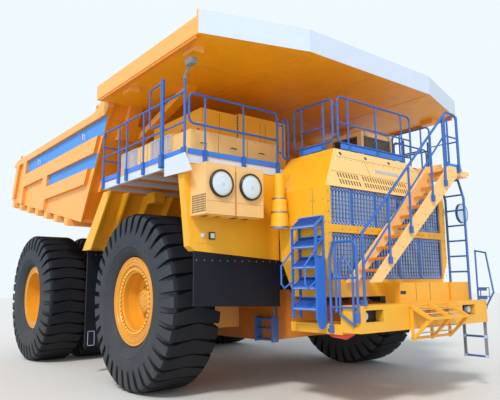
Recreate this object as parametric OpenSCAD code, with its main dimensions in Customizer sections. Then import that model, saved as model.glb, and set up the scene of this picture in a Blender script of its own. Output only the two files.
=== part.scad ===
// Rigid-frame mining dump truck of the 240-tonne class, at full size.
// X points forward, Y to the truck's left and Z up from the ground.
// Pieces are placed from the front axle, and the whole is then centred in X.

/* [Chassis] */
// Distance between the axles
wheelbase = 6180; // [6000:10:6400]
// From the front axle to the outer edge of the folded front ladder
front_overhang = 4780; // [4700:10:4900]
// From the rear axle to the tail of the dump body
rear_overhang = 2920; // [2850:10:3000]
// Outer face of each frame rail
rail_y = 1040; // [1000:10:1080]
// Width of each frame rail
rail_w = 380; // [300:10:400]
// Front face of the bumper, from the front axle
bumper_x = 4356; // [4300:10:4400]
// Top of the bumper
bumper_top = 1710; // [1650:10:1760]
// Height of the bumper beam
bumper_h = 430; // [380:10:460]
// Right end of the bumper
bumper_right = 1750; // [1700:10:1800]
// Left end of the bumper
bumper_left = 2080; // [2040:10:2120]

/* [Wheels] */
// Outer diameter of a tyre
tyre_d = 3500; // [3440:10:3560]
// Width of a tyre across its sidewalls
tyre_w = 1150; // [1100:10:1160]
// Diameter of a rim over its flanges
rim_d = 1753; // [1700:1:1800]
// Centre plane of a front tyre
front_track = 3050; // [3040:5:3080]
// Centre plane of an outer rear tyre
rear_outer = 3130; // [3120:5:3140]
// Centre plane of an inner rear tyre
rear_inner = 1780; // [1760:5:1800]
// Kingpin axis of a steered wheel
kingpin_y = 2280; // [2260:10:2300]

/* [Dump body] */
// Half width of the canopy
canopy_y = 3872; // [3800:2:3900]
// Half width over the side ribs
body_y = 3620; // [3600:10:3660]
// Top of the side rail
body_top = 6130; // [6100:10:6160]
// Thickness of the side wall
wall_t = 60; // [50:5:80]
// Thickness of the floor
floor_t = 80; // [60:5:100]
// Height of the side ribs above the wall
rib_t = 150; // [120:10:180]
// Underside of the canopy
canopy_z = 6190; // [6180:5:6220]
// Height of the skirt along the canopy's sides
skirt_h = 320; // [280:10:340]
// Height of the board across the canopy's front
board_h = 430; // [400:10:440]
// Height of the rear hinge
hinge_z = 2750; // [2700:10:2800]
// From the rear axle back to the hinge
hinge_back = 1170; // [1150:10:1200]
// Radius of the hinge pin
hinge_r = 90; // [80:5:100]

/* [Upper structure] */
// Front face of the hood
hood_x = 3723; // [3700:1:3740]
// Half width of the hood
hood_y = 1783; // [1760:1:1800]
// Half width of the hood's top
hood_top_y = 1170; // [1120:10:1200]
// Top of the hood
hood_top = 4545; // [4500:5:4580]
// Top of the side decks
deck_top = 4310; // [4290:5:4330]
// Depth of the deck's edge beam
deck_h = 140; // [120:5:160]
// Front edge of the decks
deck_x = 2190; // [2150:10:2220]
// Outer edge of the decks
deck_y = 3650; // [3620:10:3680]
// Rear edge of the decks, behind the front axle
deck_back = 1260; // [1200:10:1300]
// Height of the hand rails above a deck
rail_h = 1120; // [1100:10:1150]
// Diameter of the hand rails
pipe_d = 48; // [42:1:52]

/* [Hidden] */
$fn = 48;

yellow = [0.95, 0.68, 0.12];
orange = [0.90, 0.45, 0.05];
blue = [0.10, 0.28, 0.70];
dark = [0.12, 0.12, 0.14];
rubber = [0.10, 0.10, 0.11];
white = [0.93, 0.95, 0.97];

axle_x = (wheelbase + rear_overhang - front_overhang) / 2;
tyre_r = tyre_d / 2;
rear_x = -wheelbase;
tail_x = -wheelbase - rear_overhang;
hinge_x = rear_x - hinge_back;

// Gap between two pieces that are seated on each other
seat_gap = 0.3;
// Radial clearance of a pin or shaft in its bore
pin_gap = 0.1;

// A block between two corners
module block(a, b) {
    translate(a) cube(b - a);
}

// An outline in X and Z, thick along Y
module side_plate(y0, y1, outline) {
    translate([0, y1, 0]) rotate([90, 0, 0]) linear_extrude(y1 - y0) polygon(outline);
}

// An outline in Y and Z, thick along X
module cross_plate(x0, x1, outline) {
    translate([x0, 0, 0]) rotate([90, 0, 90]) linear_extrude(x1 - x0) polygon(outline);
}

// An outline in X and Y, thick along Z
module flat_plate(z0, z1, outline) {
    translate([0, 0, z0]) linear_extrude(z1 - z0) polygon(outline);
}

// A round along Y
module drum(p, r, y0, y1) {
    translate([p[0], y1, p[1]]) rotate([90, 0, 0]) cylinder(r = r, h = y1 - y0);
}

// The same shape on the left and on the right
module both() {
    children();
    mirror([0, 1, 0]) children();
}

// A frame with the truck's origin at the front axle
module at_axle() {
    translate([axle_x, 0, 0]) children();
}

function unit(v) = v / norm(v);

// A straight round bar between two points
module bar(p, q, d = pipe_d, sides = 16) {
    v = q - p;
    w = unit(v);
    a = acos(w[2]);
    b = atan2(w[1], w[0]);
    translate(p) rotate([0, a, b]) cylinder(d = d, h = norm(v), $fn = sides);
}

// A bent pipe through a list of points, with elbows of one radius
module pipe(points, bend = 110, d = pipe_d) {
    last = len(points) - 1;
    trims = [
        for (i = [0:last])
            i == 0 || i == last ? 0
            : bend * tan(acos(unit(points[i] - points[i - 1]) * unit(points[i + 1] - points[i])) / 2)
    ];
    for (i = [0:last - 1]) {
        w = unit(points[i + 1] - points[i]);
        bar(points[i] + w * trims[i], points[i + 1] - w * trims[i + 1], d);
    }
    if (last > 1) {
        for (i = [1:last - 1]) {
            u = unit(points[i] - points[i - 1]);
            v = unit(points[i + 1] - points[i]);
            turn = acos(u * v);
            n = unit(v - (u * v) * u);
            z = cross(-n, u);
            c = points[i] - u * trims[i] + n * bend;
            multmatrix([
                [-n[0], u[0], z[0], c[0]],
                [-n[1], u[1], z[1], c[1]],
                [-n[2], u[2], z[2], c[2]]
            ])
                rotate_extrude(angle = turn) translate([bend, 0]) circle(d = d, $fn = 16);
        }
    }
}

// Frame: two box rails, cross tubes, hinge ears and hoist pins
frame_top = 1950;
frame_top_rear = 2700;
frame_rear = hinge_x - 180;
axle_window = [280, 1130, 1670];
hoist_y = 1290;
hoist_low = [rear_x + 2380, 1400];
hoist_high = [rear_x + 2280, 3400];
nose_tube = [rear_x + 2480, 1550, 170];
hoist_pin_r = 60;
fold_pin = [920, 1640];
fold_pin_r = 20;
module frame() color(yellow) at_axle() {
    both() {
        difference() {
            side_plate(rail_y - rail_w, rail_y, [
                [bumper_x - 420.3, 1290], [bumper_x - 420.3, 1620], [2300, 1680], [1900, frame_top],
                [-1500, frame_top], [-2300, frame_top_rear], [hinge_x + 420, frame_top_rear],
                [hinge_x + 140, hinge_z + 150], [hinge_x - 140, hinge_z + 150],
                [frame_rear, frame_top_rear], [frame_rear, 2300], [rear_x + 500, 2290],
                [rear_x + 1280, 2240], [rear_x + 1780, 1800], [rear_x + 2880, 1150],
                [-1500, 900], [1200, 900], [3100, 1180]
            ]);
            block([-axle_window[0], 0, axle_window[1]], [axle_window[0], 2000, axle_window[2]]);
        }
        drum([hinge_x, hinge_z], hinge_r - pin_gap, 390, rail_y + 40);
        drum(hoist_low, hoist_pin_r - pin_gap, rail_y - 20, hoist_y + 110);
    }
    for (t = [[2300, 1400, 150], [-900, 1350, 190], nose_tube, [rear_x + 1480, 2350, 130],
            [frame_rear + 130, 2450, 110]])
        drum([t[0], t[1]], t[2], -(rail_y - rail_w + 10), rail_y - rail_w + 10);
}

// Bumper beam with two lamp recesses and its pedestal boxes
recess_out = 1626;
recess_in = 1186;
module bumper() color(yellow) at_axle() {
    difference() {
        block([bumper_x - 420, -bumper_right, bumper_top - bumper_h], [bumper_x, bumper_left, bumper_top]);
        for (s = [-1, 1])
            block([bumper_x - 160, min(s * recess_in, s * recess_out), 1450],
                [bumper_x + 10, max(s * recess_in, s * recess_out), 1635]);
    }
    for (s = [[-bumper_right, -1150], [1150, bumper_right]])
        block([2750, s[0], 1240], [bumper_x - 400, s[1], 1400]);
    block([hood_x + seat_gap, -300, bumper_top - 10], [4050, 1250, 2070]);
    block([hood_x + seat_gap, 1350, bumper_top - 10], [4050, 1980, 2070]);
    translate([bumper_x - 20, fold_pin[0], fold_pin[1]]) rotate([0, 90, 0]) cylinder(r = fold_pin_r, h = 90);
}

// Hood: radiator housing and engine cover, open at the front for the grilles
hood_bottom = 1830;
hood_rear = -700;
shoulder_z = 3740;
front_back = 350;
module hood() color(yellow) at_axle() {
    difference() {
        union() {
            cross_plate(2560, hood_x, [
                [-hood_y, 2480], [-1480, hood_bottom], [1480, hood_bottom], [hood_y, 2480],
                [hood_y, shoulder_z], [hood_top_y, hood_top], [-hood_top_y, hood_top],
                [-hood_y, shoulder_z]
            ]);
            cross_plate(hood_rear, 2560, [
                [-1180, 2950], [1180, 2950], [1180, deck_top], [-1180, deck_top]
            ]);
            cross_plate(2210, 2560, [
                [-1500, 2480], [1500, 2480], [1500, 4160], [hood_top_y, hood_top],
                [-hood_top_y, hood_top], [-1500, 4160]
            ]);
        }
        side_plate(-2500, 2500, [
            [hood_x, shoulder_z], [hood_x + 200, shoulder_z], [hood_x + 200, hood_top + 50],
            [hood_x - front_back, hood_top + 50], [hood_x - front_back, hood_top]
        ]);
        for (z = [[2130, 2935], [3070, 3740]])
            block([hood_x - 120, -1670, z[0]], [hood_x + 20, 1620, z[1]]);
        for (row = [[3805, 3900], [3935, 4030]])
            for (group = [[-1360, 8], [-675, 18], [800, 8]])
                for (i = [0:group[1] - 1])
                    louvre(group[0] + i * 75, row);
    }
}
function slope_x(z) = hood_x - front_back * (z - shoulder_z) / (hood_top - shoulder_z);
module louvre(y, z) side_plate(y, y + 36, [
    [slope_x(z[0]) - 30, z[0]], [slope_x(z[0]) + 40, z[0]],
    [slope_x(z[1]) + 40, z[1]], [slope_x(z[1]) - 30, z[1]]
]);

// Grille: a core behind upright blades, with wider straps
blades = 39;
module grille() color(blue) at_axle() {
    g = seat_gap;
    pitch = (1620 + 1670 - 60) / blades;
    for (z = [[2130, 2935], [3070, 3740]]) {
        block([hood_x - 120 + g, -1670 + g, z[0] + g], [hood_x - 80, 1620 - g, z[1] - g]);
        for (i = [0:blades - 1])
            block([hood_x - 90, -1620 + i * pitch, z[0] + 10], [hood_x - 45, -1590 + i * pitch, z[1] - 10]);
        for (y = [-1130, -480, 190, 850])
            block([hood_x - 85, y, z[0] + g], [hood_x - 30, y + 70, z[1] - g]);
        for (edge = [z[0] + g, z[1] - 70])
            block([hood_x - 95, -1660, edge], [hood_x - 60, 1610, edge + 70 - g]);
    }
}

// Engine block between the frame rails
module engine() color(dark) at_axle() {
    block([-600, -620, 1700], [2050, 620, 2950 - seat_gap]);
}

// Side deck: plate, edge beams on all sides and cross bearers
module deck_plate(out_y, in_y) {
    low = deck_top - deck_h;
    block([-deck_back, in_y, deck_top - 40], [deck_x, out_y, deck_top]);
    for (x = [-deck_back, deck_x - 60])
        block([x, in_y, low], [x + 60, out_y, deck_top - 30]);
    for (y = [in_y, out_y - 60])
        block([-deck_back, y, low], [deck_x, y + 60, deck_top - 30]);
    for (x = [-400, 400, 1200])
        block([x, in_y, low], [x + 80, out_y, deck_top - 30]);
}
deck_in = 1180 + seat_gap;
module deck_right() color(white) at_axle() mirror([0, 1, 0]) {
    deck_plate(deck_y, deck_in);
    side_plate(deck_y + 60, deck_y + 70, [[1600, 3990], [2520, 3960], [2300, deck_top], [1600, deck_top]]);
    for (x = [1620, 1980])
        block([x, deck_y - 10, deck_top - 110], [x + 60, deck_y + 65, deck_top - 40]);
}
module deck_left() color(white) at_axle() deck_plate(deck_y, deck_in);

// Fender: front panel with return flanges and slanted struts behind the wheel
panel_x = deck_x - 10;
flap_front_top = [[1500, 2510], [3440, 2640]];
module fender() {
    top = deck_top - deck_h - seat_gap;
    difference() {
        cross_plate(panel_x - 190, panel_x, [
            flap_front_top[0], flap_front_top[1], [3530, 2720], [3680, 4110], [3650, top], [1500, top]
        ]);
        cross_plate(panel_x - 200, panel_x - 12, [
            [1400, 2520], [3420, 2655], [3500, 2740], [3640, 4110], [3640, 4300], [1400, 4300]
        ]);
    }
    for (y = [1250, 1850, 2450, 3000, 3450])
        side_plate(y, y + 40, [
            [-2700, 2900], [-2250, 2900], [-1205, top], [-1560, top]
        ]);
    side_plate(1250, 3490, [[-2740, 2900], [-2680, 2900], [-1540, top], [-1600, top]]);
}
module fender_left() color(yellow) at_axle() fender();
module fender_right() color(yellow) at_axle() mirror([0, 1, 0]) fender();

// Headlamp housings, two on each side, with round lamps
module headlamps() color(yellow) at_axle() both() {
    for (y = [2590, 3220]) {
        translate([panel_x + seat_gap, y - 307, 3230]) cube([480, 614, 880]);
        translate([panel_x + 460, y, 3760]) rotate([0, 90, 0]) difference() {
            cylinder(d = 470, h = 60);
            translate([0, 0, 35]) cylinder(d = 415, h = 30);
        }
    }
}

// Rubber flaps in front of and behind the front wheels
module mudflaps() color(rubber) at_axle() both() {
    cross_plate(panel_x - 40, panel_x, [
        [1500, 1640], [3440, 1700], flap_front_top[1] - [0, seat_gap], flap_front_top[0] - [0, seat_gap]
    ]);
    block([-2660, 2350, 650], [-2620, 3400, 2900 - seat_gap]);
}

// Low electrical cabinet along the right deck's edge, with two louvred openings
module cabinet_low() color(yellow) at_axle() difference() {
    union() {
        block([1200, -3330, deck_top], [1850, -1250, 4900]);
        block([-1050, -3330, deck_top], [1210, -2900, 4960]);
    }
    for (x = [-1000, 340])
        for (i = [0:12])
            block([x + i * 60, -3400, 4540], [x + i * 60 + 34, -3300, 4940]);
}

// High resistor cabinets on the right deck
module cabinet_high() color(orange) at_axle() {
    block([-900, -2600, deck_top], [1100, -1700, 5650]);
    block([-600, -1650, deck_top], [1100, -300, 5700]);
}

// Cab: a hollow shell with cut windows and doorways
cab_x0 = -250;
cab_x1 = 1750;
cab_y0 = 1600;
cab_y1 = 2820;
cab_z1 = 5730;
cab_t = 60;
sill_z = 5000;
head_z = 5600;
doorway = [cab_x0 + 200, cab_x0 + 900];
quarter = [cab_x0 + 1100, cab_x1 - 150];
module cab_shell() color(yellow) at_axle() {
    translate([0, cab_y1, 0]) door_pins();
    translate([0, cab_y0, 0]) mirror([0, 1, 0]) door_pins();
    difference() {
        block([cab_x0, cab_y0, deck_top], [cab_x1, cab_y1, cab_z1]);
        block([cab_x0 + cab_t, cab_y0 + cab_t, deck_top + cab_t],
            [cab_x1 - cab_t, cab_y1 - cab_t, cab_z1 - cab_t]);
        block([cab_x1 - 100, cab_y0 + 110, sill_z], [cab_x1 + 10, cab_y1 - 110, head_z]);
        block([cab_x0 - 10, cab_y0 + 200, sill_z], [cab_x0 + 100, cab_y1 - 200, head_z]);
        for (y = [cab_y0 - 10, cab_y1 - 100]) {
            block([doorway[0], y, deck_top + 80], [doorway[1], y + 110, head_z]);
            block([quarter[0], y, sill_z], [quarter[1], y + 110, head_z]);
        }
    }
}
module cab_glass() color([0.2, 0.25, 0.3]) at_axle() {
    block([cab_x1 - 40, cab_y0 + 110, sill_z], [cab_x1 - 20, cab_y1 - 110, head_z]);
    block([cab_x0 + 20, cab_y0 + 200, sill_z], [cab_x0 + 40, cab_y1 - 200, head_z]);
    for (y = [cab_y0 + 20, cab_y1 - 40])
        block([quarter[0], y, sill_z], [quarter[1], y + 20, head_z]);
}

// Cab door with its window opening, two hinge lugs and a leaf that clears its frame
door_x = [doorway[0] + 6, doorway[1] - 6];
door_pin = [door_x[0] + 10, 30];
door_pin_r = 15;
door_lugs = [4650, 5450];
module cab_door() difference() {
    union() {
        block([door_x[0], -cab_t, deck_top + 86], [door_x[1], 0, head_z - 6]);
        for (z = door_lugs) {
            translate([door_pin[0], door_pin[1], z]) cylinder(r = 26, h = 80);
            block([door_pin[0], -10, z], [door_pin[0] + 60, door_pin[1] + 10, z + 80]);
        }
    }
    block([door_x[0] + 90, -cab_t - 10, sill_z], [door_x[1] - 90, 10, head_z - 90]);
    for (z = door_lugs)
        translate([door_pin[0], door_pin[1], z - 1]) cylinder(r = door_pin_r, h = 82);
}
module door_pins() {
    for (z = door_lugs) {
        translate([door_pin[0], door_pin[1], z - 40]) cylinder(r = door_pin_r - pin_gap, h = 110);
        block([door_x[0] - 60, -20, z - 40], [door_x[0] - 10, door_pin[1] + 12, z - 5]);
        block([door_x[0] - 60, door_pin[1] - 18, z - 40], [door_pin[0] + 12, door_pin[1] + 12, z - 5]);
    }
}
module cab_door_left() color(yellow) at_axle() translate([0, cab_y1, 0]) cab_door();
module cab_door_right() color(yellow) at_axle() translate([0, cab_y0, 0]) mirror([0, 1, 0]) cab_door();

// Operator seat and steering wheel behind the windscreen
seat_at = [cab_x1 - 1050, (cab_y0 + cab_y1) / 2, deck_top + cab_t];
module seat() color(dark) at_axle() translate(seat_at) {
    block([-100, -250, 0], [300, 250, 330]);
    block([-150, -300, 330], [400, 300, 480]);
    block([-250, -300, 480], [-110, 300, 1080]);
}
module steering_wheel() color(dark) at_axle() translate(seat_at) {
    translate([630, 0, 610]) rotate([0, -30, 0]) {
        rotate_extrude() translate([215, 0]) circle(d = 36, $fn = 16);
        cylinder(d = 80, h = 30, center = true);
        for (a = [90, 210, 330])
            rotate([0, 0, a]) translate([30, -15, -10]) cube([180, 30, 20]);
        translate([0, 0, -450]) cylinder(d = 60, h = 445);
    }
    block([780, -50, 0], [920, 50, 270]);
}

// Air cleaner canisters beside the hood
module air_cleaners() color(yellow) at_axle() both() {
    y = hood_y + seat_gap + 170;
    translate([2720, y, 3060]) cylinder(d1 = 340, d2 = 260, h = 560);
    translate([2720, y, 3610]) cylinder(d = 200, h = 450);
}

// Fuel tank behind the front wheel on the left, air tank on the right
tank_x = [rear_x + 2680, rear_x + 3440];
module tank() block([tank_x[0], rail_y + seat_gap, 1250], [tank_x[1], 2300, 2350]);
module fuel_tank() color(orange) at_axle() tank();
module air_tank() color(orange) at_axle() mirror([0, 1, 0]) tank();

// Diagonal stair across the grille, from the bumper to the landing
stair_x0 = 3760;
stair_x1 = 4330;
landing_y = 1250;
landing_z = 4330;
landing_x = 4200;
module stair() color(yellow) at_axle() {
    for (x = [stair_x0, stair_x1 - 50])
        cross_plate(x, x + 50, [
            [-1420, 2075], [-1160, 2075], [landing_y + 100, landing_z - 200],
            [landing_y + 100, landing_z], [landing_y - 150, landing_z]
        ]);
    for (i = [1:10]) {
        z = 2075 + i * 205;
        y = -1290 + i * 245;
        block([stair_x0 + 50, y - 60, z - 20], [stair_x1 - 50, y + 160, z + 10]);
    }
    block([stair_x0, landing_y + 80, landing_z - 120], [landing_x, walk_y - 66, landing_z - 20]);
    block([stair_x0 - 20, landing_y - 100, walk_low], [landing_x, walk_y, landing_z]);
    block([deck_x + seat_gap, 1450, walk_low], [stair_x0, walk_y, landing_z]);
    block([3200, 1450, landing_z - 10], [3950, 1462, landing_z + 150]);
}

// Step ladder on the right of the hood: sloped treads between flat posts, with hand loops
module step_ladder() color(blue) at_axle() {
    inner = -hood_y - seat_gap;
    outer = inner - 215;
    for (x = [3050, 3625]) {
        block([x, outer, 1480], [x + 35, outer + 40, 3020]);
        block([x, inner - 40, 1480], [x + 35, inner, 3205]);
        jointed([[x + 18, outer + 20, 2640], [x + 18, outer - 250, 2360], [x + 18, outer - 250, 2060],
            [x + 18, outer - 180, 1990], [x + 18, outer + 20, 2110]], 30);
    }
    for (i = [0:4])
        cross_plate(3053, 3657, [
            [outer + 2, 3000 - i * 345], [inner - 2, 3190 - i * 345],
            [inner - 2, 3215 - i * 345], [outer + 2, 3028 - i * 345]
        ]);
    cross_plate(3655, 3668, [
        [outer - 5, 2500], [inner - 3, 2500], [inner - 3, 1440], [inner - 40, 1350], [inner - 110, 1315],
        [outer + 30, 1350], [outer - 5, 1440]
    ]);
}

// Ladders on the left end of the bumper: to the walkway, down to the ground, and a hand rail
module side_ladders() color(blue) at_axle() {
    y = 2010;
    lean = 0.25;
    end_z = walk_low - seat_gap - 25 * sin(atan(lean));
    for (x = [3640, 4060])
        jointed([[x, y, bumper_top + seat_gap], [x, y, 3800], [x - (end_z - 3800) * lean, y, end_z]], 50);
    for (i = [0:7]) {
        z = 1960 + i * 320;
        x = 3640 - max(0, z - 3800) * lean;
        bar([x, y, z], [x + 420, y, z], 36);
    }
    out = bumper_left + seat_gap;
    for (x = [3840, 4290])
        block([x - 20, out, 580], [x + 20, out + 30, 1500]);
    for (z = [600, 985, 1360])
        block([3850, out, z - 20], [4280, out + 30, z + 20]);
    jointed([[4180, out + 20, 1640], [4180, out + 20, 2700], [4400, out + 20, 2650], [4510, out + 20, 1860],
        [4330, out + 20, 1560]], 34);
    block([4150, out, 1590], [4210, out + 38, 1690]);
    block([4290, out, 1530], [4352, out + 38, 1600]);
}

// Ladder of three bracket frames, folded up in front of the bumper
module folding_ladder() color(yellow) at_axle() {
    x0 = bumper_x + 12;
    tip = front_overhang;
    top = 1685;
    difference() {
        union() {
            for (y = [-490, 75, 640])
                side_plate(y, y + 40, [[x0, top], [x0, 1090], [x0 + 30, 1090], [tip, 1450], [tip, 1490],
                    [x0 + 60, top]]);
            for (c = [[x0, 1620], [x0, 1110], [tip - 50, 1450]])
                block([c[0], -470, c[1]], [c[0] + 40, 660, c[1] + 40]);
            block([x0, 660, fold_pin[1] - 40], [x0 + 40, fold_pin[0] + 45, fold_pin[1] + 40]);
        }
        for (y = [-490, 75, 640])
            side_plate(y - 10, y + 50, [[x0 + 45, top - 70], [x0 + 45, 1160], [tip - 75, 1465]]);
        translate([x0 - 10, fold_pin[0], fold_pin[1]]) rotate([0, 90, 0]) cylinder(r = fold_pin_r + pin_gap, h = 60);
    }
}

// Pipe sizes: end posts and loops, inner posts, middle rails
post_d = 42;
inner_d = 37;
mid_d = 34;
rail_off = pipe_d / 2 + 3;
foot_r = rail_off - seat_gap;
rail_top = deck_top + rail_h;
rail_mid = deck_top + 570;
foot_low = deck_top - 130;
foot_high = deck_top + 120;

// A round knob that closes the corner of two straight bars
module joint_ball(p, d = pipe_d) translate(p) sphere(d = d + 6, $fn = 24);

// Straight bars through points, with a knob at each inner point
module jointed(points, d) {
    for (i = [1:len(points) - 1])
        bar(points[i - 1], points[i], d);
    for (i = [1:len(points) - 2])
        joint_ball(points[i], d);
}

// Foot plates of posts on a side face and on a front face
module foot_x(x, y) block([x - 35, y - foot_r, foot_low], [x + 35, y + foot_r, foot_high]);
module foot_y(x, y) block([x - foot_r, y - 35, foot_low], [x + foot_r, y + 35, foot_high]);

// Rails along a deck's side: rear post, inner posts, thick post with a loop, corner post
thick_x = 1450;
module side_rails() {
    x = deck_x + rail_off;
    y = deck_y + rail_off;
    pipe([[-1200, y, foot_low + 20], [-1200, y, rail_top], [x, y, rail_top]], 110, post_d);
    bar([-1200, y, rail_mid], [x, y, rail_mid], mid_d);
    for (px = [-420, -50, 690]) {
        bar([px, y, foot_low + 20], [px, y, rail_top], inner_d);
        foot_x(px, y);
    }
    foot_x(-1200, y);
    bar([thick_x, deck_y + 43, foot_low + 20], [thick_x, deck_y + 43, 5880], 80);
    block([thick_x - 50, deck_y + seat_gap, foot_low], [thick_x + 50, deck_y + 86, foot_high]);
    pipe([[thick_x, y, 5820], [930, y, 5820], [930, y, 5030], [thick_x, y, 5030]], 110, inner_d);
    bar([x, y, foot_low + 20], [x, y, 5660], pipe_d);
    block([deck_x - 60, y - foot_r, foot_low], [x + foot_r, y + foot_r, foot_high]);
    for (t = [[-1170, -450], [-20, 660], [720, 1405], [1495, 2135]])
        block([t[0], y - foot_r + 2, deck_top + 15], [t[1], y - foot_r + 14, foot_high - 5]);
    bar([-1200, 2900, deck_top + seat_gap], [-1200, 2900, 5160], post_d);
    for (z = [4810, 5120])
        bar([-1200, 2900, z], [-1200, y, z], mid_d);
}

// Rails along a deck's front: end post at a, rounded end at b
module front_rails(a, b, posts) {
    x = deck_x + rail_off;
    pipe([[x, a, foot_low + 20], [x, a, rail_top], [x, a + 330, rail_top]]);
    pipe([[x, a + 220, rail_top], [x, b, rail_top], [x, b, rail_mid], [x, a, rail_mid]], 110, post_d);
    foot_y(x, a);
    for (y = posts) {
        bar([x, y, foot_low + 20], [x, y, rail_top], inner_d);
        foot_y(x, y);
    }
    block([x - foot_r + 2, a, deck_top + 15], [x - foot_r + 14, b + 10, foot_high - 5]);
    bar([x, b, 5250], [x, deck_y + rail_off, 5250], 24);
}
module rails_right() color(blue) at_axle() mirror([0, 1, 0]) {
    x = deck_x + rail_off;
    side_rails();
    front_rails(1530, 3590, [2380, 3250]);
    pipe([[x, 1240, 4900], [x, 1240, 5330], [x, 1380, 5330], [x, 1380, 4540], [x, 1240, 4540],
        [x, 1240, 4900]], 60, post_d);
    for (z = [4640, 5200])
        bar([x, 1380, z], [x, 1530, z], mid_d);
}
module rails_left() color(blue) at_axle() {
    side_rails();
    front_rails(2240, 3590, [2900]);
}

// Hand rails on the hood: a rounded frame on each side with posts between
module rails_hood() color(blue) at_axle() {
    z = hood_top + seat_gap;
    low = z + 150;
    y = -hood_top_y + 40;
    top = z + 985;
    pipe([[2800, y, top], [3330, y, top], [3330, y, low], [2280, y, low], [2280, y, top], [2800, y, top]],
        110, post_d);
    for (x = [2500, 3090]) {
        bar([x, y, z + 10], [x, y, top], inner_d);
        block([x - 45, y - 27, z], [x + 45, y + 27, z + 70]);
    }
    bar([2500, y, 5020], [3090, y, 5020], mid_d);
    block([2460, y - 25, z + 20], [3130, y - 12, z + 120]);
    x = hood_x - front_back - 33;
    front_top = z + 1055;
    pipe([[x, 0, front_top], [x, 1290, front_top], [x, 1290, low], [x, -1000, low], [x, -1000, front_top],
        [x, 0, front_top]], 110, post_d);
    for (y = [-710, 130, 980]) {
        bar([x, y, z + 10], [x, y, front_top], inner_d);
        block([x - 27, y - 45, z], [x + 27, y + 45, z + 70]);
    }
    bar([x, -1000, 5080], [x, 1290, 5080], mid_d);
    block([x + 12, -960, z + 20], [x + 25, 1020, z + 120]);
    bar([3330, y, 5400], [x, -1000, 5400], 24);
}

// Hand rails along the walkway and round the landing
walk_y = 2050;
walk_low = landing_z - 60;
module rails_walkway() color(blue) at_axle() {
    y = walk_y + rail_off;
    pipe([[2800, y, 5545], [3300, y, 5545], [3300, y, 4520], [2300, y, 4520], [2300, y, 5545], [2800, y, 5545]],
        110, post_d);
    for (x = [2500, 3080]) {
        bar([x, y, walk_low + 10], [x, y, 5545], inner_d);
        block([x - 35, y - foot_r, walk_low], [x + 35, y + foot_r, landing_z + 110]);
    }
    bar([2500, y, 5030], [3080, y, 5030], mid_d);
    block([2470, y - foot_r + 2, landing_z + 15], [3110, y - foot_r + 14, landing_z + 105]);
    pipe([[3750, y, walk_low + 10], [3750, y, 5650], [3980, y, 5650], [3980, y, walk_low + 10]], 100, post_d);
    bar([3750, y, 5050], [3980, y, 5050], mid_d);
    bar([3300, y, 5060], [3750, y, 5060], 24);
    for (x = [3750, 3980])
        block([x - 35, y - foot_r, walk_low], [x + 35, y + foot_r, landing_z + 110]);
    x = landing_x + rail_off;
    pipe([[x, 1180, walk_low + 10], [x, 1180, 5480], [x, 1620, 5480], [x, 1620, walk_low + 10]], 110, post_d);
    bar([x, 1180, 4980], [x, 1620, 4980], mid_d);
    for (y = [1180, 1620])
        block([x - foot_r, y - 35, walk_low], [x + foot_r, y + 35, landing_z + 110]);
    block([x - foot_r + 2, 1150, landing_z + 15], [x - foot_r + 14, 1650, landing_z + 105]);
}

// Hand rails along the stair and the gate frames at the bumper's right end
stair_posts = [[-930, 2380], [-300, 2930], [440, 3560]];
module rails_bumper() color(blue) at_axle() {
    z = bumper_top + seat_gap;
    x = stair_x1 + rail_off;
    low = [x, -1640, 2870];
    high = [x, 900, 5280];
    jointed([[x, -1640, z + 10], low, high, [x, 900, 3930]], pipe_d);
    block([4290, -1675, z], [x + foot_r, -1605, z + 90]);
    bar([x, -1640, 2350], [x, 900, 4880], mid_d);
    for (p = stair_posts)
        bar([x, p[0], p[1] + 60], [x, p[0], low[2] + (p[0] - low[1]) * (high[2] - low[2]) / (high[1] - low[1])],
            post_d);
    for (p = concat(stair_posts, [[900, 3900]]))
        block([x - foot_r, p[0] - 32, p[1]], [x + foot_r, p[0] + 32, p[1] + 120]);
    y = -bumper_right - rail_off;
    gate_x = hood_x + 33;
    jointed([[gate_x, y, 1280], [gate_x, y, 2480], [gate_x + 75, y, 2740], [4000, y, 2740]], pipe_d);
    pipe([[4000, y, 2740], [4330, y, 2740], [4330, y, 1480]]);
    for (h = [1680, 2150])
        bar([gate_x, y, h], [4330, y, h], mid_d);
    bar([3880, y, 1620], [3880, y, 2740], post_d);
    joint_ball([3880, y, 1620], 60);
    block([gate_x - 35, y - foot_r, 1260], [gate_x + 35, y + foot_r, 1385]);
    block([4290, y - foot_r, 1450], [4355, y + foot_r, 1600]);
    loop = [[3960, y, 1570], [3960, y, 2440], [4060, y, 2490], [4240, y, 2260], [4240, y, 1400]];
    for (i = [0:4]) {
        bar(loop[i], loop[(i + 1) % 5], inner_d + 3);
        joint_ball(loop[i], inner_d + 3);
    }
}

// Camera arm on the corner post, and the round mirror by the left ladder
module mirrors() color(dark) at_axle() {
    x = deck_x + rail_off;
    y = -deck_y - rail_off;
    translate([x - 25, y - 25, 5660 + seat_gap]) cube([50, 50, 60]);
    side_plate(y - 20, y + 20, [[x - 20, 5700], [x + 20, 5700], [x + 190, 5880], [x + 150, 5900]]);
    translate([x + 90, y - 60, 5860]) cube([200, 120, 110]);
    m = [3830, 2265, 3520];
    translate(m) rotate([0, 90, 0]) cylinder(d = 410, h = 40);
    bar([m[0] + 20, 2010 + 18 + seat_gap, 3560], [m[0] + 20, m[1], 3560], 26);
}

// Front axle beam with forked ends round the kingpins
axle_z = tyre_r;
fork_low = [1170, 1350];
fork_high = [2150, 2330];
module front_axle() color(orange) at_axle() {
    block([-260, -1720, 1140], [260, 1720, 1660]);
    both() {
        block([-200, 1700, fork_low[0]], [200, 1900, fork_high[1]]);
        for (f = [fork_low, fork_high]) {
            block([-180, 1890, f[0]], [180, kingpin_y, f[1]]);
            translate([0, kingpin_y, f[0]]) cylinder(r = 180, h = f[1] - f[0]);
        }
    }
}

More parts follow.
